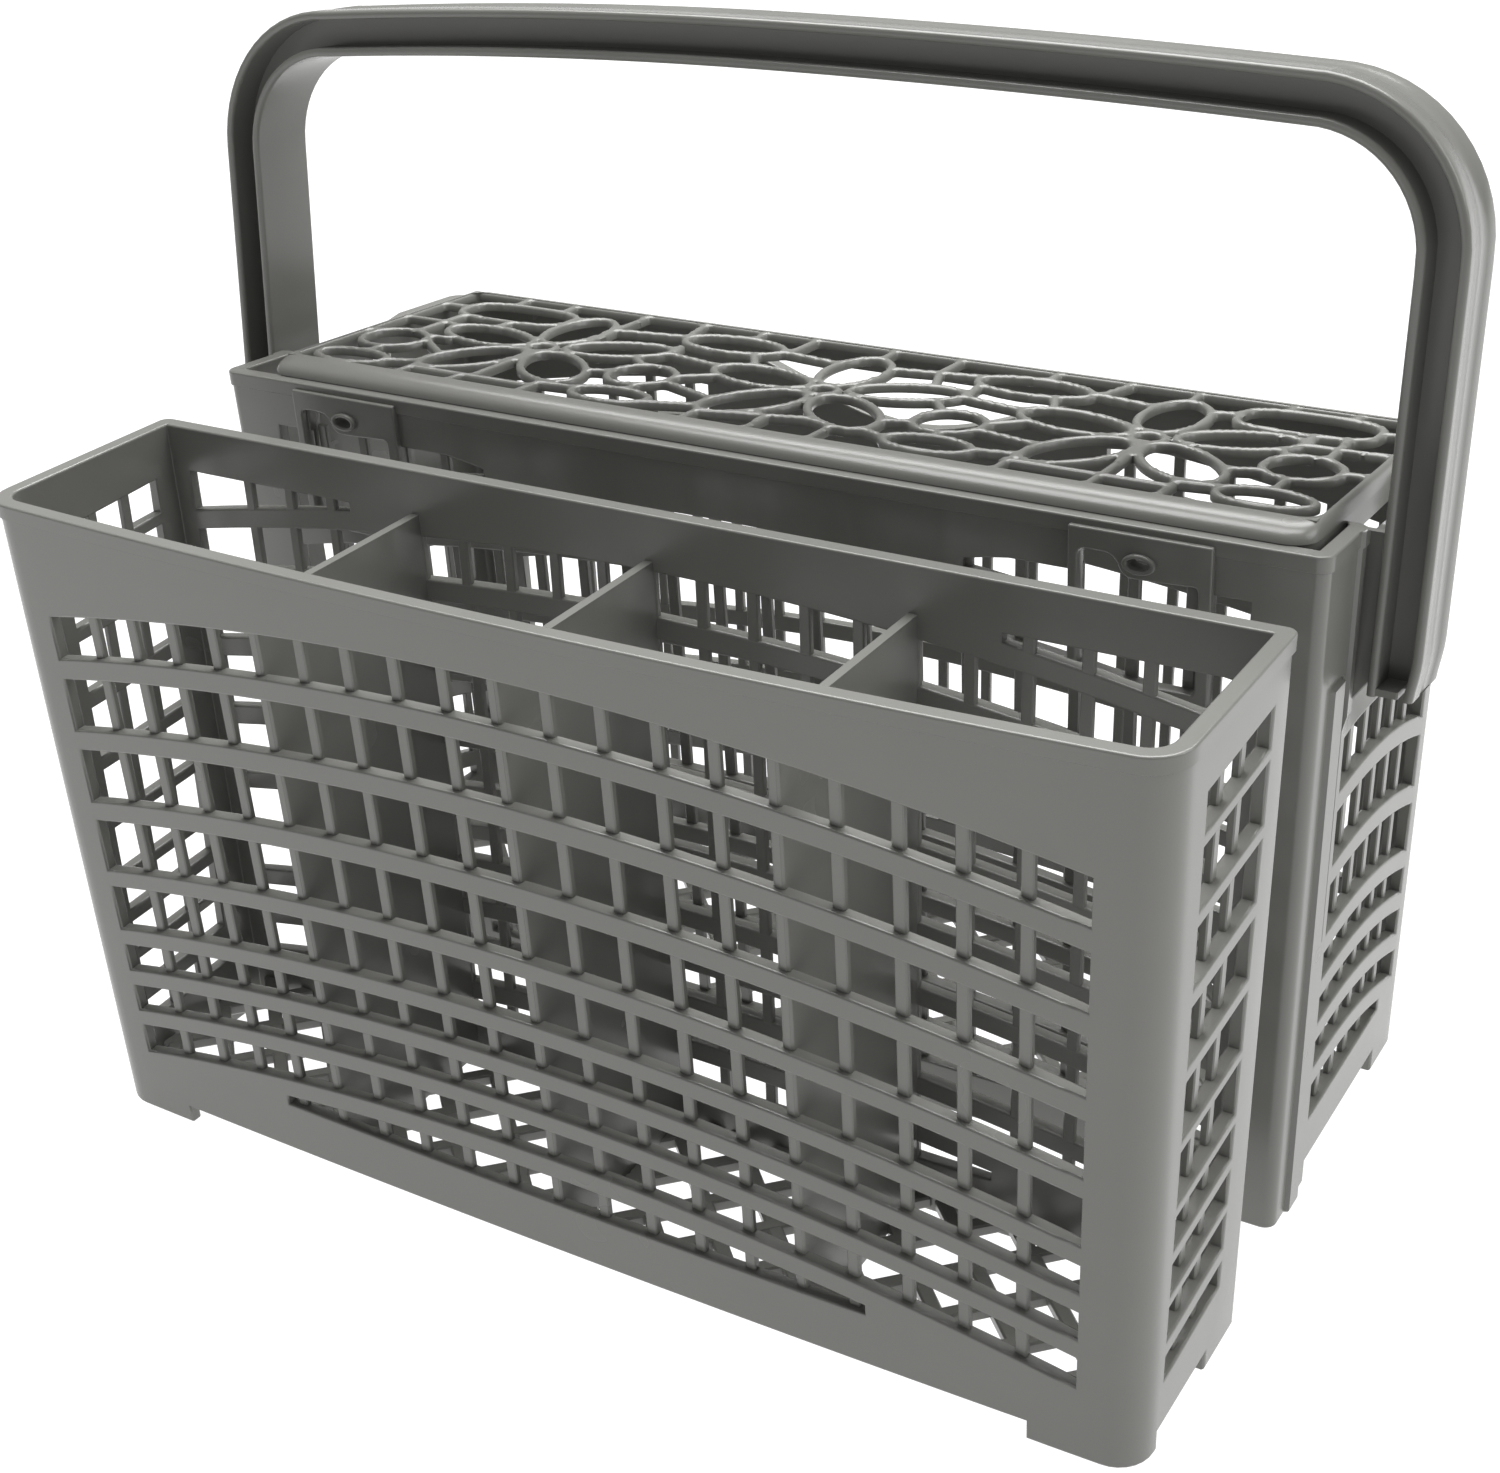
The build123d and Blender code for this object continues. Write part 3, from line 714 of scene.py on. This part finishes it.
# %% Outlines and plates
def rounded_path(corners, radius):
    """A closed path whose corners are rounded: each becomes eight points of a quadratic curve."""
    corners = np.asarray(corners, dtype=float)
    back = np.roll(corners, 1, axis=0) - corners
    onward = np.roll(corners, -1, axis=0) - corners
    back_length = np.linalg.norm(back, axis=1, keepdims=True)
    onward_length = np.linalg.norm(onward, axis=1, keepdims=True)
    most = np.minimum(back_length, onward_length) * 0.48
    reach = np.minimum(np.asarray(radius, dtype=float).reshape(-1, 1), most)
    t = np.linspace(0, 1, 8)[None, :, None]
    a = (corners + back / back_length * reach)[:, None, :]
    b = (corners + onward / onward_length * reach)[:, None, :]
    return ((1 - t) ** 2 * a + 2 * t * (1 - t) * corners[:, None, :] + t * t * b).reshape(-1, 2)


def ellipse(x, y, long, short):
    """Points of an ellipse."""
    a = np.linspace(0, 2 * np.pi, 28, endpoint=False)
    return np.stack([x + long * np.cos(a), y + short * np.sin(a)], -1)


def filled_plate(name, outlines, half_thick, edge):
    """The mesh of a flat curve with holes, thickened both ways and rounded at its edges."""
    shape = bpy.data.curves.new(name, "CURVE")
    shape.dimensions = "2D"
    shape.fill_mode = "BOTH"
    shape.extrude = half_thick - edge
    shape.bevel_depth = edge
    shape.bevel_resolution = 2
    shape.offset = -edge
    for outline in outlines:
        spline = shape.splines.new("POLY")
        spline.points.add(len(outline) - 1)
        flat = np.column_stack([outline, np.zeros(len(outline)), np.ones(len(outline))])
        spline.points.foreach_set("co", flat.ravel())
        spline.use_cyclic_u = True
    holder = new_object(name, shape)
    evaluated = holder.evaluated_get(bpy.context.evaluated_depsgraph_get())
    mesh = bpy.data.meshes.new_from_object(evaluated)
    bpy.data.objects.remove(holder)
    return mesh


def set_on_front(name, mesh, middle_x, depth):
    """Turns a plate from its drawing plane to the front wall: drawing y becomes height, and the plate leans
    with the wall, a depth behind its outside."""
    flat = np.zeros(len(mesh.vertices) * 3)
    mesh.vertices.foreach_get("co", flat)
    x, z, out = flat.reshape(-1, 3).T
    y = main.front_y + lean * (main.height - z) + depth - out
    mesh.vertices.foreach_set("co", (stacked(middle_x + x, y, z) * metres).ravel())
    add_piece(name, mesh)


# %% Hook panels
panel_low, panel_high = 110.0, 140.2
eye_place = (0.2, 135.1)
hook_opening = rounded_path(
    [(-11.4, 112.0), (10.8, 112.0), (10.8, 132.5), (1.0, 132.0), (-2.9, 132.0), (-4.6, 136.2),
     (-11.4, 136.2)], [1.0, 1.0, 1.0, 3.0, 2.6, 3.0, 1.6],
)
eye_hole = ellipse(*eye_place, 2.1, 1.1)
for side, middle_x, half_width in (("left", -87.7, 13.4), ("right", 87.8, 13.2)):
    panel_x = half_width * np.array([-1, 1, 1, -1])
    panel_z = [panel_low, panel_low, panel_high, panel_high]
    panel_edge = rounded_path(np.column_stack([panel_x, panel_z]), [0.4] * 4)
    plate = filled_plate("hook", [panel_edge, hook_opening, eye_hole], 1.5, 0.35)
    set_on_front("hook_panel_" + side, plate, middle_x, 0.1)
    eye = filled_plate("eye", [ellipse(*eye_place, 3.1, 1.9), eye_hole], 0.8, 0.4)
    set_on_front("hook_eye_" + side, eye, middle_x, -1.5)

# %% [markdown]
# ## Lid
# The lid is a tray upside down: a skirt, a round shoulder and a flat border hold a field of flowers.
# Border, shoulder and skirt are one profile carried round a rectangle with round corners. It lies on the
# falling rim, so all of it is worked out in a tilted plane.

# %% Lid frame of reference
lid_rest = 3.4
lid_tilt = atan(main_fall / main.depth)
lid_normal = np.array([0.0, sin(lid_tilt), cos(lid_tilt)])
lid_across = np.array([0.0, cos(lid_tilt), -sin(lid_tilt)])
seat = np.array([1.0, main.front_y + main.depth / 2, main.height - main_fall / 2])
lid_origin = seat + lid_rest * lid_normal
print("middle of the lid in mm:", lid_origin.round(1))


def tilted(origin, second, third, a, b, c):
    """Points of a tilted plane in the basket: a runs along x, b and c along two other directions."""
    a, b, c = (value[..., None] for value in np.broadcast_arrays(a, b, c))
    return origin + a * np.array([1.0, 0, 0]) + b * second + c * third


def on_lid(u, w, h):
    """From the lid's own plane to the basket: along, across and up its normal."""
    return tilted(lid_origin, lid_across, lid_normal, u, w, h)


def round_loop(x0, x1, y0, y1, radius):
    """A rectangle with round corners, counter-clockwise, the same number of points whatever its size."""
    a = np.radians(np.linspace(0, 90, 8))
    turns = np.radians([-90, 0, 90, 180])
    cx = np.array([x1 - radius, x1 - radius, x0 + radius, x0 + radius])[:, None]
    cy = np.array([y0 + radius, y1 - radius, y1 - radius, y0 + radius])[:, None]
    angle = turns[:, None] + a[None, :]
    return np.stack([cx + radius * np.cos(angle), cy + radius * np.sin(angle)], -1).reshape(-1, 2)


# %% Lid border: edges are left, right, front and rear in the lid's plane
lid_outside = np.array([-111.4, 115.5, -36.5, 36.3])
field = np.array([-108.8, 113.7, -31.2, 31.8])
outwards = np.array([-1.0, 1.0, -1.0, 1.0])
lid_lip = lid_outside + np.array([0.0, 0.0, -1.4, 0.0])
shoulder_in = np.array([-1.9, 1.3, -6.2, 3.6])
shoulder_height, corner, corner_less = 3.1, 5.0, 1.2
skirt_end, border_under, lip_under, skirt_thick, rear_cut = -8.0, -2.6, -3.3, 2.0, 2.0
skirt_inside = lid_outside - skirt_thick * outwards
border_inside = field + 0.5 * outwards
loops = [
    (lid_outside, corner, skirt_end), (skirt_inside, 3.2, skirt_end), (skirt_inside, 3.2, border_under),
    (border_inside, 2.5, border_under), (border_inside, 2.5, 0.0),
]
for a in np.radians(np.linspace(90, 0, 8)):
    away = 1 - cos(a)
    level = shoulder_height * sin(a) - shoulder_height
    loops.append((lid_lip - shoulder_in * away, corner - corner_less * away, level))
loops.append((lid_outside, corner, lip_under))
net = np.stack([on_lid(*round_loop(*edges, radius).T, level) for edges, radius, level in loops], axis=1)
rear_lift = rear_cut * ramp(net[:, :2, 1:2], 60.0, 72.0)
net[:, :2] += rear_lift * lid_normal
lid_border = put_piece("lid_border", *closed_tubes(net[None]))
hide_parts("lid")

# %% [markdown]
# ## Flowers in the lid
# Petals and ovals are rings, and thin ribs join them to each other and to the border. Rings and ribs could
# be separate tubes, but on the moulding they flow into each other. So one sum gives the distance of any
# point to the nearest web, and the sheet is what remains of a fine grid where that distance is below zero.

# %% Rings of the lid: middle, half sizes, turn in degrees and squareness
flowers = np.array([(-66.1, -1.2), (2.9, -1.2), (71.8, -0.3)])
petals = np.array([
    (-1, 15.4, 11.4, 6.2, 92), (15.5, 6.6, 11.6, 5.6, 23), (-16, 3.3, 12, 6.1, -10),
    (-8.3, -13.3, 11.7, 6.4, 57), (11.2, -11.4, 11.9, 6.6, -46), (0, 0, 3.2, 3.2, 0),
])
ovals = np.array([
    (-87.9, 20.3, 14.1, 6.6, 0, 3), (-31.1, 20.8, 11.9, 5.9, 0, 2), (38.9, 21.3, 12.3, 5.8, 0, 2),
    (95, 22.4, 13.7, 6.8, 0, 3), (-99.4, -9.4, 7.3, 7, 0, 2), (-35.2, -9, 7.1, 7.2, 0, 2),
    (35, -8.8, 7.1, 7.1, 0, 2), (102.9, -4.2, 7.2, 7.2, 0, 2), (-97.9, -25.5, 8.6, 4.6, 0, 2),
    (-32.7, -24.3, 8.8, 4.6, 0, 2), (37.8, -23.4, 8.9, 4.7, 0, 2), (102.8, -23.4, 8.8, 4.7, 0, 2),
])
petal_middles = (flowers[:, None, :] + petals[None, :, :2]).reshape(-1, 2)
petal_forms = np.tile(petals[:, 2:], (len(flowers), 1))
petal_rings = np.column_stack([petal_middles, petal_forms, np.full(len(petal_forms), 2.0)])
rings = np.vstack([petal_rings, ovals])
print("rings:", len(rings))

# %% Ribs of the lid, from point to point
ribs = np.array([
    (-94.3, 34, -93.2, 27.4), (-81.1, 34, -80, 27.4), (-61.1, 34, -60.2, 8), (-46.1, 34, -43.6, 21.3),
    (-60.7, 18.8, -43.9, 21.6), (-112, 20.9, -102.1, 20.6), (-98.2, 13.8, -98.5, -1.5),
    (-112, 7.1, -98.4, 7.1), (-98.4, 7, -94.3, 5.9), (-85, 13.8, -85, 8.4), (-73.6, 22.7, -70, 24.1),
    (-112, -6.6, -106, -5.5), (-92.1, -7.3, -82.5, -15.1), (-93, -4.6, -89, -4.2),
    (-97.5, -16.4, -97.1, -20.6),
    (-89.3, -25.1, -82.9, -22.6), (-81.1, -24.5, -81.1, -34), (-80.4, -26.9, -50.7, -26.9),
    (-65.6, -6, -65.4, -26.9), (-67.9, -26.9, -67.9, -34), (-50.4, -24.1, -50.4, -34),
    (-51.4, -21.9, -49.9, -24.1), (-49.6, -24.1, -42.1, -23.4), (-47.1, -11.2, -42.1, -9.8),
    (-43.2, 1.3, -39.3, -2.3), (-40.4, 13.9, -39.3, 10.2), (-38.5, 7.7, -24.5, 4.5), (-30.7, 34, -30, 26.6),
    (-17.5, 34, -17.5, 21.3), (-18.6, 20.6, -4.6, 18.4), (1.4, 34, 1.8, 26.3), (17.1, 34, 17.5, 21.3),
    (17.5, 21.3, 20.7, 13.1), (8.6, 19.9, 26.4, 23.3), (-22.9, 15.2, -18.6, 8.4), (-27.9, -6.6, -22.9, -2.6),
    (-28.2, -10.9, -14.3, -16.6), (-32.2, -16, -31.8, -20), (-25, -26.2, -13.6, -22.3),
    (-11.4, -24.4, -11.4, -34), (-10.7, -25.1, 1.4, -22.3), (-1.4, -20.1, 1.8, -22.6), (2.5, -22.6, 2.9, -34),
    (2.9, -22, 9.3, -20.1), (9.3, -20.1, 15.7, -21.2), (16.4, -21.6, 16.8, -34), (22.9, -20.9, 28.5, -23.4),
    (22.9, -14.4, 28.2, -12.3), (27.1, 2, 30.4, -2.3), (29, 11, 31.4, 7.7), (31.4, 7.7, 44, 5.2),
    (28.6, 17, 29.6, 10.5), (36.4, -15.6, 37.1, -19), (38.9, 34, 39.4, 27), (55.7, 34, 52.9, 23.4),
    (50.8, 22.4, 64, 20.2), (69.3, 34, 69.5, 26), (88.6, 34, 88.9, 29.2), (101.4, 34, 101.8, 29),
    (76.6, 21.3, 81.6, 23.4), (97.9, 15.4, 99.3, 9.5), (104.6, 15.9, 105, 2.8), (98.2, 9.1, 117, 9.9),
    (108.6, 23.1, 117, 23.5), (96.4, 4.1, 97.9, 1.6), (110, -4.4, 117, -3.4), (91.4, -10.9, 96.1, -9.1),
    (102.5, -11.4, 102.5, -19), (42, -10.9, 56, -14.1), (42, -6.6, 47.1, -1.6), (46.4, -23, 55, -21.2),
    (55, -21.6, 55, -34), (54.3, -25.5, 86, -25.5), (72.4, -5, 73.2, -25.5), (73, -25.5, 72.9, -34),
    (86.1, -20.9, 86.1, -34), (86.4, -22.6, 94.5, -21.4), (45.7, 15.6, 48.6, 9),
])
print("ribs:", len(ribs))

# %% How far a point of the lid lies from the nearest web
half_web = 0.86
pattern_shift = -0.5
tiny = 1e-6
blend = 1.2


def soft_least(a, b):
    """The lesser of two distances, rounded off where they are alike: it fills corners between webs."""
    share = np.clip(0.5 + 0.5 * (b - a) / blend, 0.0, 1.0)
    return b + (a - b) * share - blend * share * (1 - share)


def web_distance(u, w):
    """Below zero in a web and above zero in an opening. A ring's web follows a squared-off ellipse, a rib a
    straight line, and the border everything outside the field. Ribs end at the rings."""
    x = u - pattern_shift
    middle_u, middle_w, long, short, turned, power = rings.T
    dx, dy = x[..., None] - middle_u, w[..., None] - middle_w
    c, s = np.cos(np.radians(turned)), np.sin(np.radians(turned))
    ex = np.abs(c * dx + s * dy) / long + tiny
    ey = np.abs(c * dy - s * dx) / short + tiny
    size = (ex ** power + ey ** power) ** (1 / power)
    steep = np.hypot((ex / size) ** (power - 1) / long, (ey / size) ** (power - 1) / short)
    to_ring = (size - 1) / steep
    run = ribs[:, 2:] - ribs[:, :2]
    px, py = x[..., None] - ribs[:, 0], w[..., None] - ribs[:, 1]
    along = np.clip((px * run[:, 0] + py * run[:, 1]) / (run ** 2).sum(1), 0.0, 1.0)
    to_rib = np.hypot(px - along * run[:, 0], py - along * run[:, 1]).min(-1) - half_web
    to_rib = np.maximum(to_rib, -to_ring.min(-1))
    edge = np.minimum(np.minimum(u - field[0], field[1] - u), np.minimum(w - field[2], field[3] - w))
    return soft_least(soft_least(np.abs(to_ring).min(-1) - half_web, to_rib), edge)


# %% Grid over the lid: which cells are web, and which points lie on an edge
cell, margin = 0.6, 1.2
grid_u = np.arange(field[0] - margin, field[1] + margin + 0.1, cell)
grid_w = np.arange(field[2] - margin, field[3] + margin + 0.1, cell)
net_u, net_w = np.meshgrid(grid_u, grid_w)
solid = np.zeros((net_u.shape[0] - 1, net_u.shape[1]), dtype=bool)
solid[:, :-1] = web_distance(net_u[:-1, :-1] + cell / 2, net_w[:-1, :-1] + cell / 2) < 0
touches_web = np.zeros(net_u.shape, dtype=bool)
touches_gap = np.zeros(net_u.shape, dtype=bool)
for up in (slice(None, -1), slice(1, None)):
    for along in (slice(None, -1), slice(1, None)):
        touches_web[up, along] |= solid[:, :-1]
        touches_gap[up, along] |= ~solid[:, :-1]
on_edge = touches_web & touches_gap
print("lid cells in a web:", int(solid.sum()))

# %% Lid flowers: edge points moved onto the zero line, upper edges rounded
probe, most_step, least_slope = 0.05, 0.4, 0.3
web_radius, sheet_top, sheet_under, under_share = 0.5, -0.06, -2.0, 0.3
for _ in range(3):
    here = web_distance(net_u, net_w)
    slope_u = (web_distance(net_u + probe, net_w) - here) / probe
    slope_w = (web_distance(net_u, net_w + probe) - here) / probe
    step = here / np.maximum(slope_u ** 2 + slope_w ** 2, least_slope)
    step = np.clip(step, -most_step, most_step) * on_edge
    net_u, net_w = net_u - step * slope_u, net_w - step * slope_w
depth_in = np.clip(-web_distance(net_u, net_w), 0.0, web_radius)
rounding = web_radius - np.sqrt(web_radius ** 2 - (web_radius - depth_in) ** 2)
upper = on_lid(net_u, net_w, sheet_top - rounding)
lower = on_lid(net_u, net_w, sheet_under + under_share * rounding)
points, quads, _ = pierced_skin(upper, lower, solid)
put_piece("lid_flowers", points, quads, sharp=60)

# %% [markdown]
# ## Handle
# The bail has an I section: two flanges and a thin web. The section is carried up the left arm, round the
# corner, over the slightly crowned top and down the right arm, all in a plane that leans back a little. At
# the ends the outer flange runs in, and a small plate closes the channel.

# %% Handle plane
handle_lean = radians(5.5)
boss_share = np.array([0.82, 0.91])
pivot = np.array([0.0, main.front_y + 24.0, boss_share[0] * main.height])
handle_up = np.array([0.0, sin(handle_lean), cos(handle_lean)])
handle_front = np.array([0.0, -cos(handle_lean), sin(handle_lean)])
print("foot of the handle's plane in mm:", pivot.round(1))


def on_handle(x, v, out):
    """From the leaning plane of the handle to the basket: along, up the lean and out to the front."""
    return tilted(pivot, handle_up, handle_front, x, v, out)


# %% Handle path: the left side of the top droops a little
handle_half = 132.6
handle_top = 215.1
handle_end = 109.5
corner_radius = 29.3
crown = 3.6
droop = 3.0
end_length = 18.0
arm_top = (handle_top - pivot[2]) / cos(handle_lean)
arm_end = (handle_end - pivot[2]) / cos(handle_lean)
straight = handle_half - corner_radius
right_spring = arm_top - crown * (straight / handle_half) ** 2 - corner_radius
left_spring = right_spring - droop * (straight / handle_half) ** 2
end_v = np.linspace(arm_end, arm_end + end_length, 10)
arm_v = np.concatenate([end_v, np.linspace(arm_end + end_length, left_spring, 6)[1:]])
bend_angle = np.radians(np.linspace(0, 90, 16))[1:]
corner_x = -straight - corner_radius * np.cos(bend_angle)
left_x = np.concatenate([np.full(len(arm_v), -handle_half), corner_x])
left_v = np.concatenate([arm_v, left_spring + corner_radius * np.sin(bend_angle)])
right_v = np.where(left_v > left_spring, left_v + right_spring - left_spring, left_v)
top_x = np.linspace(-straight, straight, 25)[1:-1]
left_droop = droop * (np.minimum(top_x, 0.0) / handle_half) ** 2
top_v = arm_top - crown * (top_x / handle_half) ** 2 - left_droop
path_x = np.concatenate([left_x, top_x, -left_x[::-1]])
path_v = np.concatenate([left_v, top_v, right_v[::-1]])
way = np.stack([np.gradient(path_x), np.gradient(path_v)], -1)
way /= np.linalg.norm(way, axis=1, keepdims=True)
inward_x, inward_v = way[:, 1:], -way[:, :1]
print("handle path points:", len(path_x))

# %% Handle section carried along the path: out to the front, and depth in from the outside
flange, web, reach, deep = 1.8, 1.1, 7.9, 9.0
section = np.array([
    (-reach, 0), (-3.2, 0), (-2.9, 0.15), (2.9, 0.15), (3.2, 0), (reach, 0), (reach, flange), (web, flange),
    (web, deep - flange), (reach, deep - flange), (reach, deep), (-reach, deep), (-reach, deep - flange),
    (-web, deep - flange), (-web, flange), (-reach, flange),
])
on_arm_end = path_v < arm_end + end_length + 0.5
run_in = 1.0 * (1 - ramp(path_v, arm_end - 2, arm_end + 8)) * on_arm_end
outer_flange = section[:, 1] < flange + 0.1
depth = section[:, 1] + run_in[:, None] * outer_flange
section_x = path_x[:, None] + inward_x * depth
section_v = path_v[:, None] + inward_v * depth
handle_points, ring_quads = closed_tubes(on_handle(section_x, section_v, section[:, 0])[None])
skin = ring_quads[:-len(section)]
ids = np.arange(depth.size).reshape(depth.shape)
cap = np.array([
    (0, 1, 14, 15), (1, 2, 3, 4), (1, 4, 7, 14), (4, 5, 6, 7), (7, 8, 13, 14), (8, 9, 10, 11),
    (8, 11, 12, 13),
])
handle_quads = np.vstack([skin, ids[-1][cap], ids[0][cap][:, ::-1]])
outer_corners = (0, 5, 6, 9, 10, 11, 12, 15)
long_edges = np.concatenate([np.stack([ids[:-1, k], ids[1:, k]], -1) for k in outer_corners])
handle_piece = put_piece("handle_bail", handle_points, handle_quads, long_edges, 0.85, steps=4)
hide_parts("handle")

# %% Plates that close the ends of the arms
side = np.array([-1.0, 1.0])
plate_middle, plate_width = 126.9, 4.4
plate_x = side * plate_middle
plate_low = on_handle(plate_x, arm_end + 0.2, 0.0)
plate_high = on_handle(plate_x, arm_end + 1.5, 0.0)
plate_depth = 2 * reach - 0.6
plates = bars(plate_low, plate_high, (1, 0, 0), -handle_front, plate_width, plate_depth)
put_piece("handle_end_plates", *plates)

# %% [markdown]
# ## What carries the handle
# Two short round bosses on each end of the main basket reach into the arm, and a narrow cheek in front of
# them makes the recess a channel. The bosses are rings, and the cheeks two bars each, the lower one a taper.

# %% Bosses: a profile of distance from the middle and radius, turned round
boss_z = boss_share * main.height
boss_y = pivot[1] + tan(handle_lean) * (boss_z - pivot[2])
turn_round = np.linspace(0, 2 * np.pi, 24, endpoint=False)[:, None]
profile = np.array([(114.6, 2.4), (122.9, 2.4), (123.3, 2.3), (123.55, 2.0), (123.55, 0.6), (114.6, 0.6)])
which = side[:, None, None, None]
boss = stacked(
    which * profile[:, 0],
    boss_y[:, None, None] + which * np.cos(turn_round) * profile[:, 1],
    boss_z[:, None, None] + np.sin(turn_round) * profile[:, 1],
)
put_piece("main_basket_bosses", *closed_tubes(boss.reshape(4, len(turn_round), len(profile), 3)))

# %% Cheeks of the channels that the arms stand in
cheek_in, cheek_thick, cheek_ahead = 115.5, 1.4, 3.6
cheek_z = np.array([104.0, 111.5, 138.2])
cheek_out = np.array([118.3, 123.3, 123.3])
cheek_y = pivot[1] - cheek_ahead + tan(handle_lean) * (cheek_z - pivot[2])
cheek = stacked(side[:, None] * (cheek_out + cheek_in) / 2, cheek_y, cheek_z)
cheek_width = np.tile(cheek_out - cheek_in, (2, 1))
put_piece("main_basket_cheeks", *joined(*(
    bars(cheek[:, i], cheek[:, i + 1], (1, 0, 0), (0, 1, 0), cheek_width[:, i:i + 2], cheek_thick)
    for i in (0, 1)
)))

# %% [markdown]
# ## Floor and light
# A plain pale floor and soft light from the right and from above give the even studio look. The floor glows
# a little, so that it stays white and lights the walls from below. It isn't part of the object.

# %% Floor
floor_half = 9.0
floor_corners = floor_half * np.array([(-1, -1, 0), (1, -1, 0), (1, 1, 0), (-1, 1, 0)])
floor_mesh = bpy.data.meshes.new("floor")
floor_mesh.from_pydata(floor_corners.tolist(), [], [(0, 1, 2, 3)])
floor_piece = new_object("floor", floor_mesh)
pale = bpy.data.materials.new("pale_floor")
pale.use_nodes = True
pale_shader = pale.node_tree.nodes["Principled BSDF"]
pale_shader.inputs["Base Color"].default_value = (0.10, 0.10, 0.10, 1.0)
pale_shader.inputs["Roughness"].default_value = 0.9
pale_shader.inputs["Emission Color"].default_value = (1.0, 1.0, 1.0, 1.0)
pale_shader.inputs["Emission Strength"].default_value = 1.1
floor_mesh.materials.append(pale)
print("floor", 2 * floor_half, "m across")


# %% Soft lights
def soft_light(name, place, aim, size, power):
    """A square area light at a place, turned towards a point."""
    data = bpy.data.lights.new(name, "AREA")
    data.shape = "SQUARE"
    data.size = size
    data.energy = power
    light = new_object(name, data)
    light.location = place
    light.rotation_euler = (Vector(place) - Vector(aim)).to_track_quat("Z", "Y").to_euler()


middle = (0.0, 0.0, 0.1)
soft_light("right", (1.35, 0.45, 0.95), middle, 1.0, 9.3)
soft_light("above", (-0.25, 0.6, 1.75), middle, 1.7, 76.0)
world = bpy.data.worlds.new("studio")
bpy.context.scene.world = world
world.use_nodes = True
background = world.node_tree.nodes["Background"]
background.inputs["Color"].default_value = (1.0, 1.0, 1.0, 1.0)
background.inputs["Strength"].default_value = 0.245
bpy.context.scene.view_settings.view_transform = "Standard"
